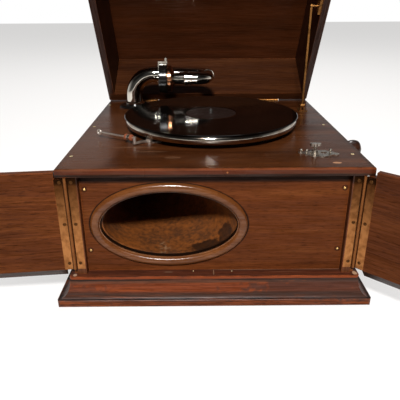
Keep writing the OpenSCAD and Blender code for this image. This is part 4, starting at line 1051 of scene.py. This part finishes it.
@dataclass
class Doors(Assembly):
    """Front doors with their long brass hinges."""

    hinge_x: float = 206.5
    hinge_y: float = 217.05
    leaf_foot: float = 58.0
    knuckle_h: float = 28.8
    left_open: float = -174.0
    right_open: float = 137.0
    screw_z: tuple[float, ...] = (68.0, 132.0, 196.0)
    screw_sunk: float = 0.35
    post_screw_x: Pair = (-198.3, 198.3)
    door_screw_x: Pair = (-214.2, 213.0)
    low_part: float = 13.9
    head_slip_z: Pair = (201.6, 202.7)
    leaf_tip_z: Pair = (201.0, 202.7)
    crown_z: Pair = (202.0, 202.85)

    def turns(self) -> Pair:
        """How far each door stands turned from straight out sideways, in degrees."""
        return 180 + self.left_open, self.right_open - 180

    def build(self, fixings: Fixings) -> None:
        """Dress the doors, the hinge leaves and the pulls, and put in the hinges' screws."""
        turns = self.turns()
        # Painted shade: each door's bevelled foot is painted grey-brown, as the shadow under the door.
        foot = (Band(30, 57.4, "#4d3c35", 0.85),)
        woods = (
            Mahogany("mahogany_door_left", "#4e2611", "#633317", "#733e1c", Axis.X, streak_mm=20, seed=21.5,
                     streaky=0.62, polish=0.08, curl=2.2, turn=(0, 0, turns[0]), bands=foot),
            Mahogany("mahogany_door_right", "#4a2411", "#5c2f15", "#69381a", Axis.X, streak_mm=20, seed=33.0,
                     streaky=0.55, polish=0.08, curl=0.9, turn=(0, 0, turns[1]), bands=foot))
        self.dress(woods[0], "left_door")
        self.dress(woods[1], "right_door")
        brass = Metal("aged_rolled_brass", "#b67a48", "#83532b", 0.38, stained=0.6, stain_mm=9, seed=8.0,
                      brushed=(0.8, 0.8, 14), shade=(105, 203),
                      hinge=(self.hinge_x, self.hinge_y, self.leaf_foot, self.knuckle_h))
        self.dress(brass, "left_leaf_fixed", "right_leaf_fixed", "left_leaf_moving", "right_leaf_moving")
        for side, wood, x, turn in zip(("left", "right"), woods, (-self.hinge_x, self.hinge_x), turns):
            self.close_head(side, wood, brass, x, turn)
        self.dress(Metal("cast_brass_pull", "#b98a4c", "#6a4522", 0.3, seed=11.0), "left_pull", "right_pull")
        dark = Metal("browned_brass_screws", "#5d3c20", "#24150b", 0.45, seed=13.0)
        for row, leaf, places, stands in (("post", "fixed", self.post_screw_x, (0, 0)),
                                          ("door", "moving", self.door_screw_x, turns)):
            for side, x, turn in zip(("left", "right"), places, stands):
                way = Matrix.Rotation(radians(turn), 3, "Z") @ FRONT
                spots = [(strike(f"{side}_leaf_{leaf}", mm(x, -400, z), -FRONT) - way * self.screw_sunk * MM,
                          way, 25 + 50 * i) for i, z in enumerate(self.screw_z)]
                self.place(fixings.put(f"{side}_{row}_screws", spots, 0.95), dark, "aged_brass",
                           body="cabinet" if row == "post" else f"door_{side}")

    def close_head(self, side: str, wood: Finish, brass: Finish, x: float, turn: float) -> None:
        """Lay thin slips on a door's head and its leaves, to close what shows of the gap under the deck.

        Args:
            side: left or right.
            wood: the door's finish.
            brass: the leaves' finish.
            x: X of the hinge's axis.
            turn: how far the door stands turned, in degrees.
        """
        for name, node, stands, heights, finish, slot, body in (
                ("head_slip", "door", turn, self.head_slip_z, wood, "walnut", f"door_{side}"),
                ("leaf_tip", "leaf_moving", turn, self.leaf_tip_z, brass, "aged_brass", f"door_{side}"),
                ("hinge_crown", "leaf_fixed", 0, self.crown_z, brass, "aged_brass", "cabinet")):
            self.place(self.slip(f"{side}_{name}", f"{side}_{node}", x, stands, *heights), finish, slot,
                       body=body)

    def slip(self, name: str, node: str, x: float, turn: float, low: float, high: float) -> Piece:
        """Cut a slip to the outline of a door's or leaf's head.

        Args:
            name: name of the slip.
            node: CAD node whose outline it takes.
            x: X of the hinge's axis.
            turn: how far the piece stands turned from straight out sideways, in degrees.
            low: height of the head.
            high: height of the slip's top.

        Returns:
            The slip.
        """
        deselect()
        slip = new_piece(name, frame["nodes"][node].data)
        editing(slip)
        select_all()
        bpy.ops.mesh.remove_doubles(threshold=MERGE)
        # The head's last millimetre is cut off, drawn out to the slip's height and set on the head.
        cut = mm(0, 0, low - 1)
        way = Matrix.Rotation(radians(turn), 3, "Z") @ Vector((1 if x > 0 else -1, 0, 0))
        end = mm(x, -self.hinge_y, 0) + way * self.low_part * MM
        for spot, normal in ((cut, -UP), (end, way)):
            select_all()
            bpy.ops.mesh.bisect(plane_co=spot, plane_no=normal, clear_outer=True, use_fill=True)
        select_all()
        bpy.ops.transform.resize(value=(1, 1, high - low), center_override=cut)
        bpy.ops.transform.translate(value=(0, 0, MM))
        return settle(slip, 30.0)


@dataclass
class Lid(Assembly):
    """Lid with its hinges and its stay."""

    body = "lid"
    open_by: float = -58.0
    screw_x: tuple[float, ...] = (-150.0, -134.0, -118.0, 118.0, 134.0, 150.0)
    screw_z: float = 208.6
    screw_sunk: float = 0.5

    def build(self, fixings: Fixings) -> None:
        """Dress the lid's boards, its hinges and the stay."""
        # The lid's boards are painted darker than the case's boards, as painted shade on the lid's inside.
        self.dress(Mahogany("shaded_mahogany_lid_walls", "#34190b", "#40200d", "#4c2912", Axis.X, streak_mm=18,
                            seed=41.0, wear=0.5), "lid_front", "lid_back_wall")
        self.dress(Mahogany("shaded_mahogany_lid_ends", "#2b160b", "#35190c", "#412211", Axis.Y, streak_mm=18,
                            seed=44.0,
                            wear=0.5, turn=(self.open_by, 0, 0)), "lid_left_wall", "lid_right_wall")
        self.dress(Mahogany("shaded_mahogany_lid_top", "#391b0a", "#47220e", "#552a13", Axis.X, streak_mm=22,
                            seed=47.0, streaky=0.3, gloss=0.34), "lid_top")
        brass = Metal("lid_hinge_brass", "#9c6c3a", "#4a2f17", 0.36, stained=0.75, seed=14.0)
        self.dress(brass, "lid_hinge_moving", "lid_hinge_fixed", "stay_bracket", "stay_rod", "stay_rail")
        spots = [(strike("lid_hinge_fixed", mm(x, 260, self.screw_z), FRONT) + FRONT * self.screw_sunk * MM,
                  -FRONT, 30 * i) for i, x in enumerate(self.screw_x)]
        self.place(fixings.put("lid_hinge_screws", spots, 0.8), brass, "aged_brass", body="cabinet")


@dataclass
class Turntable(Assembly):
    """Platter, record, label and spindle, which turn together."""

    body = "turntable"
    centre: Pair = (0.0, 8.7)
    platter_r: float = 150.0
    rim_z: Pair = (223.7, 237.7)
    record_r: float = 152.0
    record_t: float = 2.0
    label_r: float = 44.0
    label_t: float = 0.3
    spindle_r: float = 3.6

    def build(self) -> None:
        """Build the platter, the record and its label, and dress them."""
        nickel = Metal("nickel_plated_rim", "#c9c1b4", "#8a6442", 0.09, stained=0.55, stain_mm=20, seed=17.0)
        self.place(self.platter(), nickel, "nickel", instead=("platter",))
        self.place(self.record(), ShellacDisc("pressed_shellac", self.centre), "shellac",
                   instead=("record",))
        paper = Coating("brown_label_paper", "#1c110d", "#2b1b15", 0.5, 1.2, seed=19.0, polish=0.2)
        self.place(self.label(), paper, "label_paper", instead=("record_label",))
        self.dress(Metal("bright_steel_spindle", "#c5c4c0", "#7c6a55", 0.18, seed=23.0), "spindle",
                   "drive_wheels")

    def platter(self) -> Piece:
        """Turn the pressed platter with its rolled rim.

        Returns:
            The platter.
        """
        r, bore, high = self.platter_r, self.spindle_r + 0.3, self.rim_z[1] - self.rim_z[0]
        bow = high * 0.62
        rim = [(r - bow + bow * cos(radians(a)), high / 2 + bow * sin(radians(a)))
               for a in range(-50, 51, 5)]
        under = [(bore, high - 3.2), (12, high - 3.2), (14, high - 4.0), (r - 10, high - 4.0),
                 (r - 7.5, high - 4.6), (r - 6.4, 1.0), (r - 5.4, 0.2)]
        top = [(r - 4.6, high - 0.02), (r - 6.2, high - 0.5), (self.spindle_r + 8, high - 0.5), (bore, high)]
        return turned("platter_pressing", under + rim + top + under[:1], mm(*self.centre, self.rim_z[0]),
                      steps=192)

    def record(self) -> Piece:
        """Turn the record, with its rounded edge and the raised lands at its rim and round its label.

        Returns:
            The record.
        """
        r, t, label, bore = self.record_r, self.record_t, self.label_r, self.spindle_r
        profile = [(bore, 0), (r - 4, 0.1), (r - 1.0, 0.25), (r - 0.2, 0.7), (r, 1.0), (r - 0.2, 1.45),
                   (r - 1.1, t - 0.05), (r - 3.0, t), (r - 5, t - 0.04), (label + 8, t - 0.04),
                   (label + 6, t), (label + 1.0, t), (label + 0.2, t - 0.2), (label, t - self.label_t),
                   (bore, t - self.label_t), (bore, 0)]
        return turned("record_disc", profile, mm(*self.centre, self.rim_z[1]), steps=192, smooth=20.0)

    def label(self) -> Piece:
        """Turn the paper label with the ring that the press leaves in it.

        Returns:
            The label.
        """
        r, t, bore = self.label_r, self.label_t, self.spindle_r
        profile = [(bore, 0), (r, 0), (r, 0.2), (r - 0.4, t), (16.5, t), (16, 0.18), (15, 0.18), (14.5, t),
                   (bore + 0.4, t), (bore, 0.2), (bore, 0)]
        return turned("record_label_paper", profile, mm(*self.centre, self.rim_z[1] + self.record_t - t))


@dataclass
class Tonearm(Assembly):
    """Tonearm, its crook and the sound box."""

    body = "arm"
    flange_inset: float = 6.0
    face_inset: float = 2.6

    def build(self, fixings: Fixings) -> None:
        """Dress the arm, the crook and the sound box."""
        self.dress(Metal("nickel_plated_arm", "#d6cfc3", "#8f6a46", 0.07, stained=0.35, stain_mm=18,
                         seed=25.0),
                   "tonearm", "crook")
        self.dress(Coating("black_japan", "#0d0b0a", "#1d1612", 0.16, 3.0, seed=27.0, depth_mm=0.02,
                           amount=0.3),
                   "tonearm_base", "soundbox_case")
        self.dress(Metal("copper_toned_rim", "#d0916a", "#7a4a2a", 0.16, stained=0.4, seed=31.0),
                   "soundbox_rim")
        self.dress(Coating("split_mica", "#a89c84", "#6d5f49", 0.16, 5.0, ior=1.58, seed=33.0), "diaphragm")
        self.dress(Metal("nickel_needle_bar", "#bdb8ad", "#7d6040", 0.2, stained=0.4, seed=29.0),
                   "needle_bar")
        self.base_screws(fixings)
        self.box_screws(fixings)

    def base_screws(self, fixings: Fixings) -> None:
        """Put the screws into the flange of the arm's base."""
        low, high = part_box("tonearm_base")
        middle = middle_of(low, high)
        reach = (high[0] - low[0]) / 2 - self.flange_inset * MM
        spots = []
        for turn in (30, 150, 270):
            out = Vector((cos(radians(turn)), sin(radians(turn)), 0)) * reach
            # The height is read a little further out, past the foot of the pillar.
            above = Vector((middle.x + out.x * 1.07, middle.y + out.y * 1.07, high[2] + 0.1))
            top = strike("tonearm_base", above, -UP).z - 0.2 * MM
            spots.append((Vector((middle.x + out.x, middle.y + out.y, top)), UP, turn))
        self.place(fixings.put("arm_base_screws", spots, 0.7),
                   Metal("nickel_flange_screws", "#cbc5b8", "#7a6040", 0.2, seed=53.0), "nickel",
                   body="cabinet")

    def box_screws(self, fixings: Fixings) -> None:
        """Put the screws that hold the sound box's face ring."""
        low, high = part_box("soundbox_case")
        middle = middle_of(low, high)
        reach = (high[2] - low[2]) / 2 - self.face_inset * MM
        spots = [(Vector((low[0] + 0.25 * MM, middle.y + reach * cos(radians(a)),
                          middle.z + reach * sin(radians(a)))),
                  Vector((-1, 0, 0)), a) for a in range(20, 321, 60)]
        self.place(fixings.put("soundbox_screws", spots, 0.5),
                   Metal("nickel_box_screws", "#cbc5b8", "#7a6040", 0.2, seed=54.0), "nickel",
                   body="crook_and_box")


@dataclass
class Controls(Assembly):
    """Brake and speed regulator on the deck."""

    pad_turn: float = 148.0
    screws_apart: float = 28.0
    screws_up: float = 0.98
    washers_apart: float = 10.0

    def build(self, fixings: Fixings) -> None:
        """Dress the brake and the regulator."""
        nickel = Metal("nickel_plated_fittings", "#d0c7bb", "#5c4633", 0.2, stained=0.55, stain_mm=5,
                       seed=35.0, worn_and_lit_edges=True)
        self.dress(nickel, "brake_plate", "speed_plate", "speed_nut")
        self.dress(Metal("nickel_plated_rod", "#f0e7dc", "#a98a6c", 0.34, stained=0.4, stain_mm=6,
                         seed=36.0),
                   "brake_lever")
        leather = Coating("brake_leather", "#8f4a28", "#5a2c17", 0.7, 1.5, depth_mm=0.2, seed=37.0)
        self.place(self.pads(), leather, "pad_leather", body="brake", instead=("brake_pad",))
        self.place(self.sleeve(), nickel, "nickel", body="brake")
        low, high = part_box("brake_plate")
        middle = middle_of(low, high)
        spots = [(Vector((middle.x + side * self.screws_apart / 2 * MM, middle.y,
                          low[2] + self.screws_up * MM)),
                  UP, 40) for side in (-1, 1)]
        self.place(fixings.put("brake_plate_screws", spots, 0.64), nickel, "nickel")

    def pad_axis(self) -> tuple[Vector, Vector]:
        """Give the brake pad's middle and the way of its rod."""
        turn = radians(self.pad_turn)
        return middle_of(*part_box("brake_pad")), Vector((cos(turn), sin(turn), 0))

    def pads(self) -> Piece:
        """Turn the two leather washers that press on the platter's rim.

        Returns:
            Both washers as one piece.
        """
        middle, way = self.pad_axis()
        profile = [(1.6, -2), (4.3, -2), (4.8, -1.6), (5, -1), (5, 1), (4.8, 1.6), (4.3, 2), (1.6, 2),
                   (1.6, -2)]
        return join([turned(f"washer_{side}", profile, middle + way * side * self.washers_apart / 2 * MM,
                            way, 40)
                     for side in (-1, 1)], "brake_leathers")

    def sleeve(self) -> Piece:
        """Turn the metal sleeve between the washers.

        Returns:
            The sleeve.
        """
        middle, way = self.pad_axis()
        profile = [(1.6, -3), (4.4, -3), (4.4, -2.2), (3.4, -1.8), (3.2, 0), (3.4, 1.8), (4.4, 2.2),
                   (4.4, 3), (1.6, 3), (1.6, -3)]
        return turned("brake_sleeve", profile, middle, way, 40)


@dataclass
class Crank(Assembly):
    """Winding crank with its turned grip."""

    body = "crank_handle"
    bore_r: float = 3.35
    # Place along the grip and radius, both as shares of the whole.
    shape: tuple[Pair, ...] = (
        (0.0, 0.55), (0.02, 0.6), (0.055, 0.62), (0.075, 0.58), (0.09, 0.56), (0.15, 0.6), (0.22, 0.68),
        (0.3, 0.78),
        (0.4, 0.88), (0.5, 0.95), (0.545, 0.975), (0.55, 0.95), (0.57, 0.95), (0.575, 0.985), (0.6, 0.99),
        (0.605, 0.965), (0.625, 0.965), (0.63, 0.995), (0.68, 1.0), (0.76, 0.985), (0.84, 0.94), (0.9, 0.87),
        (0.95, 0.74), (0.98, 0.6), (1.0, 0.45))

    def build(self) -> None:
        """Dress the crank, its grip and the bush."""
        self.dress(Metal("plated_steel_crank", "#a9a49b", "#5f4a35", 0.28, stained=0.5, seed=39.0), "crank")
        wood = Mahogany("ebonised_grip", "#150b07", "#28140c", "#3c2013", Axis.X, seed=51.0, gloss=0.24,
                        wear=0.4, polish=0.5, worn="#5d3620")
        self.place(self.grip(), wood, "walnut", body="grip", instead=("crank_grip",))
        self.dress(Metal("brass_escutcheon", "#b98a4c", "#6a4522", 0.3, seed=41.0), "crank_bush")

    def grip(self) -> Piece:
        """Turn the grip with its collar, its scribed rings and its domed end.

        Returns:
            The grip.
        """
        low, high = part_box("crank_grip")
        r, length, bore = (high[2] - low[2]) / 2 / MM, (high[0] - low[0]) / MM, self.bore_r
        profile = [(bore, 0.0)] + [(r * wide, length * far) for far, wide in self.shape] + [
            (bore + 1.2, length), (bore, length - 0.6), (bore, 0.0)]
        foot = Vector((low[0], (low[1] + high[1]) / 2, (low[2] + high[2]) / 2))
        return turned("turned_crank_grip", profile, foot, Vector((1, 0, 0)), steps=72, smooth=50.0)


@dataclass
class Motor(Assembly):
    """Spring motor inside the case."""

    def build(self) -> None:
        """Dress the motor's plates, barrel and wheels."""
        self.dress(Metal("blued_steel_plates", "#7c7f83", "#3f3a35", 0.34, brushed=(20, 0.6, 20), seed=43.0),
                   "motor_top_plate", "motor_bottom_plate", "motor_pillars")
        self.dress(Metal("turned_steel_barrel", "#8f9092", "#4b443c", 0.3, brushed=(12, 12, 0.6), seed=45.0),
                   "spring_barrel", "winding_arbor")
        self.dress(Metal("clock_brass", "#c49a55", "#7a5a2a", 0.26, seed=46.0), "governor")


# ---------------------------------------------------------------- studio


@dataclass
class Studio:
    """Floor, lamps and the camera that sees what the photograph shows."""

    camera_at: Point = (-0.0231, -0.8148, 0.4297)
    yaw: float = -0.0037
    pitch: float = radians(-23.578)
    roll: float = -0.0053
    lens: float = 42.07

    def build(self) -> None:
        """Make the floor, the world, the lamps and the camera."""
        self.floor()
        self.world()
        self.lamp("key", (-0.1, -2.36, 2.16), (0, -0.1, 0.12), 0.36, 122.0)
        self.lamp("sky", (0.3, 0.6, 2.6), (0, 0, 0.1), 1.6, 9.0)
        self.lamp("back", (0.2, 1.9, 2.9), (0, 0.2, 0.2), 1.0, 42.0)
        self.camera()

    def floor(self) -> None:
        """Lay a pale floor that keeps the object's shadow."""
        deselect()
        bpy.ops.mesh.primitive_grid_add(x_subdivisions=4, y_subdivisions=4, size=12,
                                        location=(0, 2.0, -0.0002))
        floor = bpy.context.object
        floor.name = "floor"
        material = bpy.data.materials.new("floor_paper")
        t = Tree(material)
        paper = t.add("BsdfDiffuse", {"Color": linear("#a8a6a4")})
        # Seen straight or in a reflection the paper is near white.
        # What it throws back on the object is less.
        plain = t.add("BsdfDiffuse", {"Color": linear("#6b6762")})
        glow = t.add("Emission", {"Color": linear("#fffefd"), "Strength": 0.62})
        t.show(t.add("MixShader", (t.seen(), plain, t.add("AddShader", (paper, glow)))))
        floor.data.materials.append(material)

    def world(self) -> None:
        """Set a weak fill and a backdrop.

        The backdrop is white behind the object and falls off towards the dark front of the room.
        """
        world = bpy.data.worlds.new("studio")
        bpy.context.scene.world = world
        t = Tree(world, "World")
        way = t.add("SeparateXYZ", (t.add("TexCoord").outputs["Generated"],)).outputs
        behind = t.add("MapRange", (way[1], -0.45, 0.3, 0.06, 0.62))
        low = t.add("MapRange", (way[2], 0.42, 0.12, 0.1, 1.0))
        paper = t.add("Math", (behind, low), operation="MULTIPLY")
        level = t.add("Math", (paper, t.add("LightPath").outputs["Is Camera Ray"]), operation="MAXIMUM")
        fill = t.add("Background", {"Color": (1, 1, 1, 1), "Strength": 0.1})
        white = t.add("Background", {"Color": (1, 1, 1, 1), "Strength": level})
        t.show(t.add("MixShader", (t.seen(), fill, white)))

    def lamp(self, name: str, at: Point, to: Point, size: float, power: float) -> None:
        """Hang an area lamp.

        Args:
            name: name of the lamp.
            at: its place in metres.
            to: the point that it faces.
            size: its width in metres.
            power: its power in watts.
        """
        light = bpy.data.lights.new(name, "AREA")
        light.size = size
        light.energy = power
        lamp = bpy.data.objects.new(name, light)
        lamp.location = at
        lamp.rotation_euler = (Vector(to) - Vector(at)).to_track_quat("-Z", "Y").to_euler()
        bpy.context.collection.objects.link(lamp)

    def camera(self) -> None:
        """Set the camera at the photograph's place, turn and lens."""
        ahead = Vector((-sin(self.yaw) * cos(self.pitch), cos(self.yaw) * cos(self.pitch), sin(self.pitch)))
        right = ahead.cross(UP).normalized()
        up = right.cross(ahead)
        across = cos(self.roll) * right + sin(self.roll) * up
        upward = -sin(self.roll) * right + cos(self.roll) * up
        data = bpy.data.cameras.new("camera")
        data.lens = self.lens
        data.sensor_width = 36.0
        data.sensor_fit = "HORIZONTAL"
        data.clip_start = 0.01
        data.clip_end = 50.0
        camera = bpy.data.objects.new("camera", data)
        camera.matrix_world = Matrix.Translation(self.camera_at) @ Matrix(
            (across, upward, -ahead)).transposed().to_4x4()
        bpy.context.collection.objects.link(camera)
        bpy.context.scene.camera = camera


def clear_starters() -> None:
    """Remove the objects of Blender's start-up file."""
    for name in ("Cube", "Light", "Camera"):
        item = bpy.data.objects.get(name)
        if item is not None and "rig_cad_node" not in item:
            bpy.data.objects.remove(item, do_unlink=True)


def main() -> None:
    """Build the studio and every sub-assembly in order."""
    clear_starters()
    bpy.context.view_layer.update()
    bpy.context.scene.view_settings.view_transform = "Standard"
    deselect()
    Studio().build()
    fixings = Fixings()
    Case().build(fixings)
    HornMouth().build()
    Doors().build(fixings)
    Lid().build(fixings)
    Turntable().build()
    Tonearm().build(fixings)
    Controls().build(fixings)
    Crank().build()
    Motor().build()
    discard(fixings.screw)


if __name__ == "__main__":
    main()
